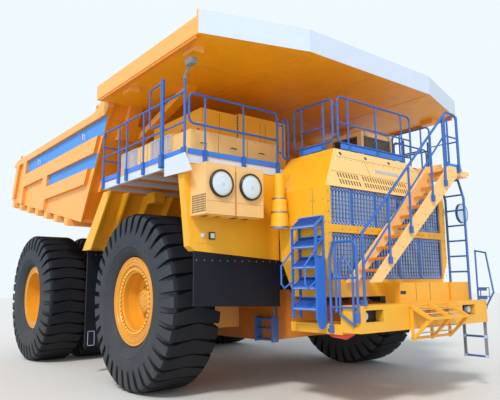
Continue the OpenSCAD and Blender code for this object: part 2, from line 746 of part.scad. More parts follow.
// Steering knuckle with its spindle
spindle_r = 150;
module knuckle() {
    translate([0, kingpin_y, fork_low[1] + seat_gap])
        cylinder(r = 170, h = fork_high[0] - fork_low[1] - 2 * seat_gap);
    drum([0, axle_z], 260, kingpin_y + 50, 2560);
    drum([0, axle_z], spindle_r, kingpin_y, front_track + 10);
}
module knuckle_left() color(orange) at_axle() knuckle();
module knuckle_right() color(orange) at_axle() mirror([0, 1, 0]) knuckle();

// Rim: a barrel with flanges round a dished disc
rim_r = rim_d / 2;
bead_r = rim_r - 150;
flange = [360, 385, 426];
module wheel_front() {
    translate([0, front_track, axle_z]) rotate([-90, 0, 0]) rotate_extrude() polygon([
        [bead_r - 40, -flange[2]], [rim_r, -flange[2]], [rim_r, -flange[1]], [bead_r, -flange[0]],
        [bead_r, flange[0]], [rim_r, flange[1]], [rim_r, flange[2]], [bead_r - 20, flange[2]],
        [bead_r - 60, 300], [bead_r - 166, 260], [bead_r - 206, 60], [400, 20], [260, 20], [230, 120],
        [0, 120], [0, 20], [spindle_r + pin_gap, 20], [spindle_r + pin_gap, -180], [300, -180],
        [330, -60], [bead_r - 126, -60],
        [bead_r - 60, 120], [bead_r - 60, -300]
    ]);
}
module wheel_front_left() color(yellow) at_axle() wheel_front();
module wheel_front_right() color(yellow) at_axle() mirror([0, 1, 0]) wheel_front();

// Tyre section out to the tips of the lugs, with grooves across the tread
lugs = 36;
groove_w = 90;
groove_h = 85;
module tyre(y) {
    w = tyre_w / 2;
    b = [flange[0] - 3, flange[1] - 5];
    foot = rim_r + 460;
    floor = tyre_r - groove_h;
    translate([0, y, axle_z]) difference() {
        rotate([-90, 0, 0]) rotate_extrude($fn = 36) polygon([
            [bead_r + seat_gap, -b[0]], [rim_r + 4, -b[1]], [rim_r + 60, -w + 90], [rim_r + 300, -w],
            [tyre_r - 90, -w + 45], [tyre_r, -w + 140], [tyre_r, w - 140], [tyre_r - 90, w - 45],
            [rim_r + 300, w], [rim_r + 60, w - 90], [rim_r + 4, b[1]], [bead_r + seat_gap, b[0]]
        ]);
        for (i = [0:lugs - 1])
            rotate([0, (i + 0.5) * 360 / lugs, 0]) cross_plate(-groove_w / 2, groove_w / 2, [
                [w + 9, foot], [w - 12, foot], [w - 45, foot + 160], [w - 190, floor],
                [-w + 190, floor], [-w + 45, foot + 160], [-w + 12, foot], [-w - 9, foot],
                [-w - 9, tyre_r + 20], [w + 9, tyre_r + 20]
            ]);
    }
}
module tyre_front_left() color(rubber) at_axle() tyre(front_track);
module tyre_front_right() color(rubber) at_axle() mirror([0, 1, 0]) tyre(front_track);
module rear_tyres() translate([rear_x, 0, 0]) {
    tyre(rear_outer);
    tyre(rear_inner);
}
module tyres_rear_left() color(rubber) at_axle() rear_tyres();
module tyres_rear_right() color(rubber) at_axle() mirror([0, 1, 0]) rear_tyres();

// Twin rear rims on one hub drum
hub_disc = [rear_outer - 160, rear_outer - 60];
hub_r = bead_r - 86;
module rear_rims() {
    translate([rear_x, 0, axle_z]) rotate([-90, 0, 0]) rotate_extrude() polygon([
        [hub_r, rear_inner - flange[2]], [rim_r, rear_inner - flange[2]], [rim_r, rear_inner - flange[1]],
        [bead_r, rear_inner - flange[0]], [bead_r, rear_inner + flange[0]],
        [rim_r, rear_inner + flange[1]], [rim_r, rear_inner + flange[2]],
        [bead_r, rear_inner + flange[2]], [bead_r, rear_outer - flange[2]],
        [rim_r, rear_outer - flange[2]], [rim_r, rear_outer - flange[1]],
        [bead_r, rear_outer - flange[0]], [bead_r, rear_outer + flange[0]],
        [rim_r, rear_outer + flange[1]], [rim_r, rear_outer + 394], [bead_r - 30, rear_outer + 394],
        [bead_r - 60, rear_outer], [hub_r - 100, hub_disc[1]], [0, hub_disc[1]], [0, hub_disc[0]],
        [hub_r, hub_disc[0]]
    ]);
}
module wheel_rear_left() color(orange) at_axle() rear_rims();
module wheel_rear_right() color(orange) at_axle() mirror([0, 1, 0]) rear_rims();

// Rear axle housing with its nose to the frame
strut_x = rear_x - 620;
nose_x = nose_tube[0] - nose_tube[2] - seat_gap;
module rear_axle() color(orange) at_axle() {
    drum([rear_x, axle_z], 480, -1060, 1060);
    drum([rear_x, axle_z], 420, -2300, 2300);
    drum([rear_x, axle_z], 300, -hub_disc[0] + seat_gap, hub_disc[0] - seat_gap);
    side_plate(-250, 250, [
        [rear_x + 300, 2000], [rear_x + 300, 1500], [nose_x, 1400], [nose_x, 1700]
    ]);
    both() side_plate(700, 1000, [
        [rear_x - 300, 1300], [strut_x - 150, 1350], [strut_x - 150, 1500],
        [strut_x + 150, 1500], [rear_x - 300, 1700]
    ]);
}

// Suspension cylinders at both axles, and the front brackets
module suspension() color(orange) at_axle() both() {
    translate([0, 1270, 1660 + seat_gap]) cylinder(d = 300, h = 860);
    block([-170, rail_y + seat_gap, 1700], [170, 1270, 1900]);
    translate([strut_x, 850, 1500 + seat_gap]) cylinder(d = 260, h = 2290 - 1500 - 2 * seat_gap);
}

// Dump body: places along the sloping floor, in side view
side_front = [-1360, body_top - 190];
floor_front = [-2820, 3600];
floor_tail = [tail_x + 150, 4870];
floor_slope = (floor_tail[1] - floor_front[1]) / (floor_tail[0] - floor_front[0]);
function floor_z(x) = floor_front[1] + (x - floor_front[0]) * floor_slope;
bearer_h = 180;
bearers = 7;
bearer_w = 260;
bearer_x = floor_front[0] - 700;
bearer_pitch = (bearer_x - floor_tail[0] - 520) / (bearers - 1);
module bed_floor() color(orange) at_axle() {
    y = body_y - rib_t;
    side_plate(-y, y, [
        floor_front, floor_front + [0, floor_t], floor_tail + [0, floor_t], floor_tail
    ]);
    for (i = [0:bearers - 1]) {
        x = bearer_x - i * bearer_pitch;
        side_plate(-body_y + 15, body_y - 15, [
            [x - bearer_w, floor_z(x - bearer_w) - seat_gap], [x, floor_z(x) - seat_gap],
            [x, floor_z(x) - bearer_h], [x - bearer_w, floor_z(x - bearer_w) - bearer_h]
        ]);
        side_plate(-y + 5, y - 5, [
            [x - bearer_w + 5, floor_z(x) - 60], [x - 5, floor_z(x) - 60],
            [x - 5, floor_z(x) + 20], [x - bearer_w + 5, floor_z(x - bearer_w) + 20]
        ]);
    }
}
module side_wall() {
    y0 = body_y - rib_t;
    y1 = y0 + wall_t;
    side_plate(y0, y1, [
        floor_front, side_front, [side_front[0], body_top],
        [tail_x + 800, body_top], [tail_x + 430, body_top - 120], [tail_x, 4960], floor_tail
    ]);
    // Ribs: top rail, upper and lower rail, tail post, rear post and middle post
    t = tail_x;
    for (rib = [
            [[side_front[0] - 10, body_top - 190], [side_front[0], body_top],
                [t + 800, body_top], [t + 430, body_top - 120], [t + 520, body_top - 190]],
            [[-1960, 5150], [-1740, 5530], [t + 1500, 5530], [t + 1400, 5150]],
            [[-2480, 4480], [-2280, 4830], [t + 3600, 4830], [t + 3480, 4480]],
            [[t + 330, 4940], [t + 570, 4940], [t + 1000, body_top - 180], [t + 700, body_top - 180]],
            [[t + 1180, 4700], [t + 1480, 4640], [t + 1800, body_top - 180], [t + 1490, body_top - 180]],
            [[t + 3290, 4290], [t + 3640, 4220], [t + 3830, 5160], [t + 3480, 5160]]])
        side_plate(y1 - 10, body_y, rib);
}
module bed_sides() color(orange) at_axle() both() side_wall();
function front_x(z) = floor_front[0] + (z - floor_front[1] - floor_t)
    * (side_front[0] + 120 - floor_front[0]) / (canopy_z - floor_front[1] - floor_t);
module bed_front() color(orange) at_axle() {
    y = body_y - rib_t;
    back = floor_front[0] - 90;
    side_plate(-y, y, [
        floor_front + [0, floor_t], [front_x(canopy_z), canopy_z], [side_front[0], canopy_z],
        [back, floor_z(back) + floor_t]
    ]);
    for (beam = [[3200, 5450, 5780], [3300, 4300, 4560]])
        side_plate(-beam[0], beam[0], [
            [front_x(beam[1]) - 20, beam[1]], [front_x(beam[1]) + 180, beam[1]],
            [front_x(beam[2]) + 180, beam[2]], [front_x(beam[2]) - 20, beam[2]]
        ]);
    for (y = [-3100, -1200, 900, 2800])
        side_plate(y, y + 300, [
            [front_x(5760) - 20, 5760], [front_x(5760) + 170, 5760],
            [front_x(canopy_z) + 170, canopy_z], [front_x(canopy_z) - 20, canopy_z]
        ]);
}
module canopy() color(yellow) at_axle() {
    outline = [
        [-1240, -canopy_y], [2932, -canopy_y], [3519, -1851], [3519, 1851],
        [2932, canopy_y], [-1240, canopy_y]
    ];
    inner = [
        [-1300, -canopy_y + 50], [2890, -canopy_y + 50], [3460, -1830], [3460, 1830],
        [2890, canopy_y - 50], [-1300, canopy_y - 50]
    ];
    difference() {
        union() {
            flat_plate(canopy_z, canopy_z + skirt_h, outline);
            flat_plate(canopy_z, canopy_z + board_h, [
                [2932, -canopy_y], [3519, -1851], [3519, 1851], [2932, canopy_y],
                [2880, canopy_y], [3460, 1830], [3460, -1830], [2880, -canopy_y]
            ]);
        }
        flat_plate(canopy_z + 60, canopy_z + 900, inner);
    }
    both() {
        side_plate(2480, 2700, [
            [front_x(5500) + 181, 5500], [850, canopy_z + 10], [350, canopy_z + 10],
            [front_x(5680) + 181, 5680]
        ]);
        for (x = [-250, 2170])
            block([x, 3480, canopy_z - 110], [x + 350, 3700, canopy_z + 10]);
    }
}

// Longitudinal sills under the floor with hinge lugs and hoist brackets
lug_y = [400, 640];
ear_gap = 70;
module bed_stringers() color(orange) at_axle() both() {
    drop = bearer_h + seat_gap;
    tail = hinge_x - 250;
    sill_x = floor_front[0] - 330;
    difference() {
        union() {
            side_plate(640, 980, [
                [sill_x, floor_z(sill_x) - drop], [sill_x - 250, 2800],
                [sill_x - 450, frame_top_rear + 5],
                [hinge_x + 480, frame_top_rear + 5], [hinge_x + 360, hinge_z + 220], [tail, hinge_z + 220],
                [tail, floor_z(tail) - drop]
            ]);
            side_plate(lug_y[0], lug_y[1] + 10, [
                [hinge_x + 700, floor_z(hinge_x + 700) - drop], [hinge_x + 155, hinge_z - 40],
                [hinge_x + 60, hinge_z - 150], [hinge_x - 60, hinge_z - 150],
                [hinge_x - 155, hinge_z - 40], [tail, floor_z(tail) - drop]
            ]);
            side_plate(970, hoist_y + 70 + ear_gap, [
                [hoist_high[0] - 260, floor_z(hoist_high[0] - 260) - drop],
                [hoist_high[0] - 120, 3290], [hoist_high[0] + 120, 3290],
                [hoist_high[0] + 260, floor_z(hoist_high[0] + 260) - drop]
            ]);
        }
        drum([hinge_x, hinge_z], hinge_r, 0, 2000);
        block([hoist_high[0] - 400, hoist_y - ear_gap, 3000], [hoist_high[0] + 400, hoist_y + ear_gap, 3620]);
    }
}

// Hoist cylinders: barrel, middle stage and rod
barrel_r = 200;
stage_r = 160;
rod_r = 120;
module hoist_axis() {
    v = hoist_high - hoist_low;
    translate([hoist_low[0], hoist_y, hoist_low[1]]) rotate([0, 90 - atan2(v[1], v[0]), 0]) children();
}
hoist_len = norm(hoist_high - hoist_low);
module eye(r, bore, w) difference() {
    union() {
        rotate([90, 0, 0]) cylinder(r = r, h = w, center = true);
        translate([-r * 0.7, -w / 2, 0]) cube([r * 1.4, w, r + 40]);
    }
    rotate([90, 0, 0]) cylinder(r = bore, h = w + 20, center = true);
}
module hoist_barrel() hoist_axis() {
    difference() {
        translate([0, 0, 170]) cylinder(r = barrel_r, h = hoist_len - 400);
        translate([0, 0, 250]) cylinder(r = stage_r + pin_gap, h = hoist_len);
    }
    eye(140, hoist_pin_r, 120);
}
module hoist_stage() hoist_axis() difference() {
    translate([0, 0, 260]) cylinder(r = stage_r, h = hoist_len - 440);
    translate([0, 0, 330]) cylinder(r = rod_r + pin_gap, h = hoist_len);
}
module hoist_rod() hoist_axis() {
    translate([0, 0, 340]) cylinder(r = rod_r, h = hoist_len - 340 - 260);
    translate([0, 0, hoist_len]) rotate([90, 0, 0]) cylinder(r = 80, h = 100, center = true);
    translate([-60, -50, hoist_len - 280]) cube([120, 100, 280]);
}
module hoist_barrel_left() color(dark) at_axle() hoist_barrel();
module hoist_barrel_right() color(dark) at_axle() mirror([0, 1, 0]) hoist_barrel();
module hoist_stage_left() color(dark) at_axle() hoist_stage();
module hoist_stage_right() color(dark) at_axle() mirror([0, 1, 0]) hoist_stage();
module hoist_rod_left() color(white) at_axle() hoist_rod();
module hoist_rod_right() color(white) at_axle() mirror([0, 1, 0]) hoist_rod();

frame();
bumper();
hood();
grille();
engine();
deck_right();
deck_left();
fender_right();
fender_left();
headlamps();
mudflaps();
cabinet_low();
cabinet_high();
cab_shell();
cab_glass();
cab_door_left();
cab_door_right();
seat();
steering_wheel();
air_cleaners();
fuel_tank();
air_tank();
stair();
step_ladder();
side_ladders();
folding_ladder();
rails_right();
rails_hood();
rails_left();
rails_walkway();
rails_bumper();
mirrors();
front_axle();
knuckle_left();
knuckle_right();
wheel_front_left();
wheel_front_right();
tyre_front_left();
tyre_front_right();
rear_axle();
suspension();
wheel_rear_left();
wheel_rear_right();
tyres_rear_left();
tyres_rear_right();
bed_floor();
bed_sides();
bed_front();
canopy();
bed_stringers();
hoist_barrel_left();
hoist_barrel_right();
hoist_stage_left();
hoist_stage_right();
hoist_rod_left();
hoist_rod_right();
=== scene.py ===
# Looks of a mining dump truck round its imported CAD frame
# Places are in metres from the floor below the front axle's middle: X forward, Y to the left, Z up
from math import cos, hypot, pi, radians, sin, tan

import bmesh
import bpy
from mathutils import Matrix, Vector

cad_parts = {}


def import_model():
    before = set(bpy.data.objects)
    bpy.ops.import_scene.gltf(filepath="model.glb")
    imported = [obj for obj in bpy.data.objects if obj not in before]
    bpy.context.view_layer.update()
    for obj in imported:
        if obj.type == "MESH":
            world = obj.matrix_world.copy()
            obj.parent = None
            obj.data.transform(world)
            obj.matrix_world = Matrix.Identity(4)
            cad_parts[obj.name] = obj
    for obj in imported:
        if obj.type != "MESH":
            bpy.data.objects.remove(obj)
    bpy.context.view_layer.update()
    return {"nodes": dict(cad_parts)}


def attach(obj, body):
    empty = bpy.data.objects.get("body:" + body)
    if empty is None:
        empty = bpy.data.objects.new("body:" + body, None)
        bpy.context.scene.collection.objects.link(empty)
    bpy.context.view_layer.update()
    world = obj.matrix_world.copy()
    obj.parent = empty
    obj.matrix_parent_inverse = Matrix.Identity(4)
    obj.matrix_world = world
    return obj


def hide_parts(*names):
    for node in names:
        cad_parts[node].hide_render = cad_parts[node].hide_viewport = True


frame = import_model()
scene = bpy.context.scene
NODES = frame["nodes"]

# The front axle's place in the frame
AXLE = Vector((2.16, 0, 0))
BOTH = (1, -1)
AHEAD, BACK, UP = (1, 0, 0), (-1, 0, 0), (0, 0, 1)
# Gap between a piece and what carries it
GAP = 0.0003

# Driving dimensions: axle height, rear axle, and the tyres' middles
AXLE_Z = 1.75
REAR_X = -6.18
FRONT_Y = 3.05
OUTER_Y = 3.13
INNER_Y = 1.78
# Fender's front panel, deck's front and side
PANEL_X = 2.18
DECK_X = 2.19
DECK_Y = 3.65
# Hood's upright front, its side, the edge where it leans back, and the two grille openings
HOOD_X = 3.723
HOOD_Y = 1.783
HOOD_Z = 3.74
GRILLES = ((2.13, 2.935), (3.07, HOOD_Z))
# Dump body's side wall between its ribs
WALL_Y = 3.53
# Bumper's upper front face
BUMPER_X = 4.05


# Colours are written as they look and turned into linear values here
def rgb(r, g, b):
    def lin(c):
        c /= 255
        return c / 12.92 if c <= 0.04045 else ((c + 0.055) / 1.055) ** 2.4
    return (lin(r), lin(g), lin(b), 1)


# The two pale tones are painted light, mixed onto faces that look up or ahead
PAINTED_LIGHT_YELLOW = rgb(252, 206, 136)
PAINTED_LIGHT_ORANGE = rgb(246, 180, 98)
DUST = rgb(168, 150, 128)


# Adds a shader node, with its inputs set or linked, and gives one of its outputs
def node(tree, kind, inputs, output=0, **settings):
    made = tree.nodes.new("ShaderNode" + kind)
    for key, value in settings.items():
        setattr(made, key, value)
    for key, value in inputs.items():
        if isinstance(value, bpy.types.NodeSocket):
            tree.links.new(value, made.inputs[key])
        else:
            made.inputs[key].default_value = value
    return made.outputs[output]


# A painted or rubber surface: noise in colour and roughness, dust near the ground, painted light where it
# looks up
def surface(name, colour, rough=0.4, metallic=0.0, vary=0.1, dust=0.02, grain=0.0, grain_scale=60.0,
            painted_light=None, low=0.05, high=0.3, gloss=0.5, front=False):
    material = bpy.data.materials.new(name)
    material.use_nodes = True
    tree = material.node_tree
    shader = tree.nodes["Principled BSDF"].inputs
    place = tree.nodes.new("ShaderNodeTexCoord").outputs

    def noise(scale, detail=4):
        return node(tree, "TexNoise", {"Vector": place["Object"], "Scale": scale, "Detail": detail}, "Fac")

    def remap(value, low, high, to_low, to_high):
        return node(tree, "MapRange", {"Value": value, "From Min": low, "From Max": high,
                                       "To Min": to_low, "To Max": to_high})

    def mix(factor, a, b):
        return node(tree, "Mix", {"Factor": factor, 6: a, 7: b}, 2, data_type="RGBA")

    def times(a, b):
        return node(tree, "Math", {0: a, 1: b}, operation="MULTIPLY")

    def part(output, axis):
        return node(tree, "SeparateXYZ", {0: place[output]}, axis)

    darker = tuple(c * 0.72 for c in colour[:3]) + (1,)
    base = mix(remap(noise(3), 0.35, 0.75, 0, vary * 3), colour, darker)
    if dust:
        near_ground = remap(part("Object", "Z"), 0.2, 3.2, dust * 2.2, dust * 0.15)
        base = mix(times(near_ground, remap(noise(1.7, 6), 0.3, 0.7, 0.3, 1)), base, DUST)
    # Painted light: faces that look up are mixed towards the pale tone; faces that look down keep the
    # saturated colour as painted shade
    if painted_light:
        pale = remap(part("Normal", "Z"), low, high, 0, 0.85)
        # With front, only faces that also look ahead get the painted light
        if front:
            pale = times(pale, remap(part("Normal", "X"), 0.6, 0.85, 0, 1))
        base = mix(pale, base, painted_light)
    shader["Metallic"].default_value = metallic
    shader["Specular IOR Level"].default_value = gloss
    tree.links.new(base, shader["Base Color"])
    tree.links.new(remap(noise(12), 0.3, 0.7, rough - 0.06, rough + 0.08), shader["Roughness"])
    if grain:
        bump = node(tree, "Bump", {"Strength": grain, "Distance": 0.01, "Height": noise(grain_scale, 5)})
        tree.links.new(bump, shader["Normal"])
    return material


# An even surface, such as glass or the floor
def plain(name, colour, rough, alpha=1):
    material = bpy.data.materials.new(name)
    material.use_nodes = True
    shader = material.node_tree.nodes["Principled BSDF"]
    for key, value in (("Base Color", colour), ("Roughness", rough), ("Alpha", alpha)):
        shader.inputs[key].default_value = value
    return material


MAT = {
    # Yellow and orange paints
    # Yellow paint, mixed towards a pale tone where it faces up and ahead: painted light
    "yellow": surface("yellow_paint", rgb(246, 178, 30), 0.36, vary=0.08, grain=0.05, grain_scale=20,
                      painted_light=PAINTED_LIGHT_YELLOW, front=True, dust=0.1),
    # Brighter, more saturated copy of the orange paint: painted bounce light under the canopy, and paler
    # where it doesn't face down as painted light
    "canopy": surface("canopy_paint_painted_bounce_light", rgb(252, 168, 16), 0.42, vary=0.12, dust=0, painted_light=PAINTED_LIGHT_ORANGE,
                      low=-0.5, high=0.0),
    # Orange paint, mixed towards a pale tone wherever it doesn't face down: painted light, with undersides
    # saturated as painted shade
    "orange": surface("orange_paint", rgb(238, 146, 26), 0.42, grain=0.08, grain_scale=14,
                      painted_light=PAINTED_LIGHT_ORANGE, low=-0.5, high=0.0, dust=0.1),
    # Paler copy of the yellow paint on the lamp houses: painted light
    "beige": surface("lamp_house_paint_painted_light", rgb(240, 192, 124), vary=0.06),
    # Much paler copy of the yellow paint on the cab: painted light against the canopy's shade
    "cream": surface("cab_paint_painted_light", rgb(255, 226, 178), vary=0.05),
    # Paler copy of the yellow paint on the low cabinet and the stair: painted light
    "peach": surface("yellow_paint_painted_light", rgb(252, 200, 124), vary=0.06, dust=0.03, grain=0.04,
                     grain_scale=18),
    # Darker copy of the orange paint: painted shade on the frame under the truck; it also colours the dark
    # seams on the lamp houses
    "deep": surface("frame_shade_and_seam_paint", rgb(206, 116, 24), 0.5, vary=0.2, dust=0.06),
    "rim": surface("rim_paint", rgb(226, 152, 32), 0.34, vary=0.08, dust=0.03),
    "tread": surface("tread_plate", rgb(236, 138, 24), 0.45, vary=0.12, dust=0.04),
    "gold": surface("gold_paint", rgb(250, 190, 70), 0.35, vary=0.08),
    "red": surface("red_paint", rgb(196, 36, 26), vary=0.08, dust=0.1),
    # Blue and white paints
    "blue": surface("blue_paint", rgb(40, 98, 178), 0.38, dust=0.1),
    "azure": surface("ladder_blue_paint", rgb(44, 112, 206), vary=0.08),
    "sky": surface("light_blue_paint", rgb(54, 124, 226), vary=0.08),
    "navy": surface("dark_blue_paint", rgb(14, 40, 118), 0.45),
    "stripe": surface("blue_stripe", rgb(70, 150, 235), 0.5, dust=0.05),
    "blade": surface("grille_blades", rgb(160, 182, 222), metallic=0.2),
    "pale": surface("pale_grille", rgb(190, 208, 240), vary=0.06),
    "white": surface("white_paint", rgb(210, 221, 238), vary=0.03, dust=0.05),
    # Rubber, plastic and cloth
    # Tyre rubber in two copies, the lighter on the flanks and the darker on the running faces: painted light
    # and painted shade
    "rubber": surface("tyre_rubber", rgb(54, 60, 68), 0.72, vary=0.2, dust=0.04, gloss=0.25, grain=0.25,
                      grain_scale=40),
    "lug": surface("tread_rubber_painted_shade", rgb(24, 28, 36), 0.6, vary=0.2, gloss=0.12, grain=0.25, grain_scale=40),
    "flap": surface("flap_rubber", rgb(18, 24, 36), 0.5, vary=0.15, gloss=0.2, grain=0.1),
    "grey": surface("grey_rubber", rgb(132, 134, 136), 0.6),
    # Black for real black parts, also used as painted shade in holes, vents, recesses and round the rim nuts
    "black": surface("black_plastic", rgb(24, 24, 26), 0.45, dust=0.04),
    "hose": surface("black_hose", rgb(30, 30, 32), 0.5, dust=0.06),
    "fabric": surface("seat_fabric", rgb(46, 46, 52), 0.9, vary=0.2, dust=0, grain=0.3, grain_scale=180),
    # Bare metal, lamps and glass
    "dark": surface("dark_steel", rgb(52, 52, 56), 0.5, metallic=0.4, vary=0.2, dust=0.1),
    "steel": surface("zinc_steel", rgb(150, 150, 148), 0.42, metallic=0.8, vary=0.15, dust=0.1),
    "core": surface("radiator_core_and_slot_shade", rgb(70, 84, 120), 0.5, metallic=0.3, vary=0.25, dust=0.05, grain=0.3,
                    grain_scale=90),
    "chrome": surface("rod_chrome", rgb(212, 214, 220), 0.16, metallic=1, vary=0.04, dust=0),
    "mirror": surface("mirror_face", rgb(214, 222, 230), 0.06, metallic=1, vary=0.02, dust=0),
    "lamp": surface("lamp_glass", rgb(214, 226, 232), 0.12, vary=0.05, dust=0),
    "glass": plain("tinted_glass", rgb(96, 84, 66), 0.05, 0.72),
}


# Sharp edges where faces meet at an angle, smooth shading elsewhere
def shade(mesh):
    bm = bmesh.new()
    bm.from_mesh(mesh)
    limit = radians(32)
    for face in bm.faces:
        face.smooth = True
    for edge in bm.edges:
        edge.smooth = len(edge.link_faces) == 2 and edge.calc_face_angle(0) < limit
    bm.to_mesh(mesh)
    bm.free()


# Small rounded edges that catch light
def soften(obj, width):
    bevel = obj.modifiers.new("edges", "BEVEL")
    bevel.width = width
    bevel.segments = 2
    bevel.limit_method = "ANGLE"
    bevel.angle_limit = radians(40)
    bevel.use_clamp_overlap = True
    normals = obj.modifiers.new("normals", "WEIGHTED_NORMAL")
    normals.keep_sharp = True


# Gathers the solids of one piece
class Piece:
    def __init__(self):
        self.verts, self.faces = [], []

    def add(self, verts, faces):
        n = len(self.verts)
        self.verts += [Vector(v) for v in verts]
        self.faces += [[n + i for i in face] for face in faces]
        return self

    # A block between two corners
    def block(self, a, b):
        x, y, z = (sorted(pair) for pair in zip(a, b))
        corners = [(i, j, k) for i in x for j in y for k in z]
        sides = [(0, 1, 3, 2), (4, 6, 7, 5), (0, 4, 5, 1), (2, 3, 7, 6), (0, 2, 6, 4), (1, 5, 7, 3)]
        return self.add(corners, sides)

    # Four blocks round an opening across x or y, between two depths
    def border(self, across, depths, left, right, low, high, edge):
        near, far = depths
        first, last = left - edge, right + edge
        for a, b, z0, z1 in ((first, last, low - edge, low), (first, last, high, high + edge),
                             (first, left, low, high), (right, last, low, high)):
            if across == "x":
                self.block((near, a, z0), (far, b, z1))
            else:
                self.block((a, near, z0), (b, far, z1))

    # An outline of (x, z) points, thick along y
    def plate(self, y0, y1, outline):
        n = len(outline)
        verts = [(x, y, z) for y in sorted((y0, y1)) for x, z in outline]
        walls = [(i, (i + 1) % n, n + (i + 1) % n, n + i) for i in range(n)]
        return self.add(verts, [tuple(range(n))[::-1], tuple(range(n, 2 * n))] + walls)

    # Faces between the columns of a ring of points, each column a loop or an open line
    def skin(self, verts, columns, rows, closed=True):
        faces = []
        for i in range(columns):
            j = (i + 1) % columns
            for k in range(rows if closed else rows - 1):
                m = (k + 1) % rows
                faces.append((i * rows + k, j * rows + k, j * rows + m, i * rows + m))
        return self.add(verts, faces)

    # Turned about an axis through a point, from (radius, height) pairs
    def turned(self, at, axis, profile, steps=48, closed=True):
        axis = Vector(axis).normalized()
        side = axis.orthogonal().normalized()
        up = axis.cross(side)
        verts = []
        for i in range(steps):
            a = 2 * pi * i / steps
            out = side * cos(a) + up * sin(a)
            verts += [Vector(at) + out * r + axis * h for r, h in profile]
        return self.skin(verts, steps, len(profile), closed)

    # Turned with its two ends closed
    def lathe(self, at, axis, profile, steps=24):
        first = len(self.verts)
        n = len(profile)
        self.turned(at, axis, profile, steps, closed=False)
        self.faces.append([first + i * n for i in range(steps)])
        self.faces.append([first + i * n + n - 1 for i in range(steps)][::-1])
        return self

    # A short collar round an axis, between two radii
    def collar(self, at, axis, inner, outer, half, steps):
        return self.turned(at, axis, [(inner, -half), (outer, -half), (outer, half), (inner, half)], steps)

    # A hexagon bolt head that stands on a face
    def bolt(self, at, axis, r, h):
        return self.lathe(at, axis, [(r, 0), (r, h * 0.75), (r * 0.8, h)], 6)

    # Bolt heads on a circle round an axis
    def bolt_circle(self, at, axis, radius, count, r, h, first=0.0):
        at = Vector(at)
        across = Vector(AHEAD if axis[1] else (0, 1, 0))
        for i in range(count):
            a = 2 * pi * (i + first) / count
            self.bolt(at + (across * cos(a) + Vector(UP) * sin(a)) * radius, axis, r, h)
        return self

    # A round bar between two points
    def bar(self, start, end, r, sides=6):
        return self.tube([start, end], r, 0, sides)

    # A round tube along points, with its corners rounded off
    def tube(self, points, r, bend, sides):
        points = [Vector(p) for p in points]
        path = [points[0]]
        for before, p, after in zip(points, points[1:], points[2:]):
            a = (before - p).normalized()
            b = (after - p).normalized()
            turn = pi - a.angle(b)
            if turn < 0.02:
                path.append(p)
                continue
            cut = bend * tan(turn / 2)
            centre = p + (a + b).normalized() * (bend / cos(turn / 2))
            start, end = p + a * cut - centre, p + b * cut - centre
            steps = max(2, int(turn / 0.26))
            for i in range(steps + 1):
                w = i / steps
                arm = (start * sin((1 - w) * turn) + end * sin(w * turn)) / sin(turn)
                path.append(centre + arm)
        path.append(points[-1])
        last = len(path) - 1
        verts = []
        side = None
        for i, p in enumerate(path):
            along = (path[min(i + 1, last)] - path[max(i - 1, 0)]).normalized()
            if side is None:
                side = along.orthogonal().normalized()
            side = (side - along * side.dot(along)).normalized()
            up = along.cross(side)
            verts += [p + (side * cos(a) + up * sin(a)) * r
                      for a in (2 * pi * k / sides for k in range(sides))]
        faces = []
        for i in range(last):
            for k in range(sides):
                m = (k + 1) % sides
                faces.append((i * sides + m, (i + 1) * sides + m, (i + 1) * sides + k, i * sides + k))
        faces += [tuple(range(sides)), tuple(range(last * sides, (last + 1) * sides))[::-1]]
        return self.add(verts, faces)

    # Makes the object, with its material and its body, and hides the CAD nodes that it stands for
    def make(self, name, look, body="chassis", bevel=0.0, stands_for=()):
        mesh = bpy.data.meshes.new(name)
        mesh.from_pydata([v + AXLE for v in self.verts], [], self.faces)
        bm = bmesh.new()
        bm.from_mesh(mesh)
        bmesh.ops.recalc_face_normals(bm, faces=bm.faces)
        bm.to_mesh(mesh)
        bm.free()
        shade(mesh)
        obj = bpy.data.objects.new(name, mesh)
        scene.collection.objects.link(obj)
        obj.data.materials.append(MAT[look])
        if bevel:
            soften(obj, bevel)
        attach(obj, body)
        if stands_for:
            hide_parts(*stands_for)
        return obj


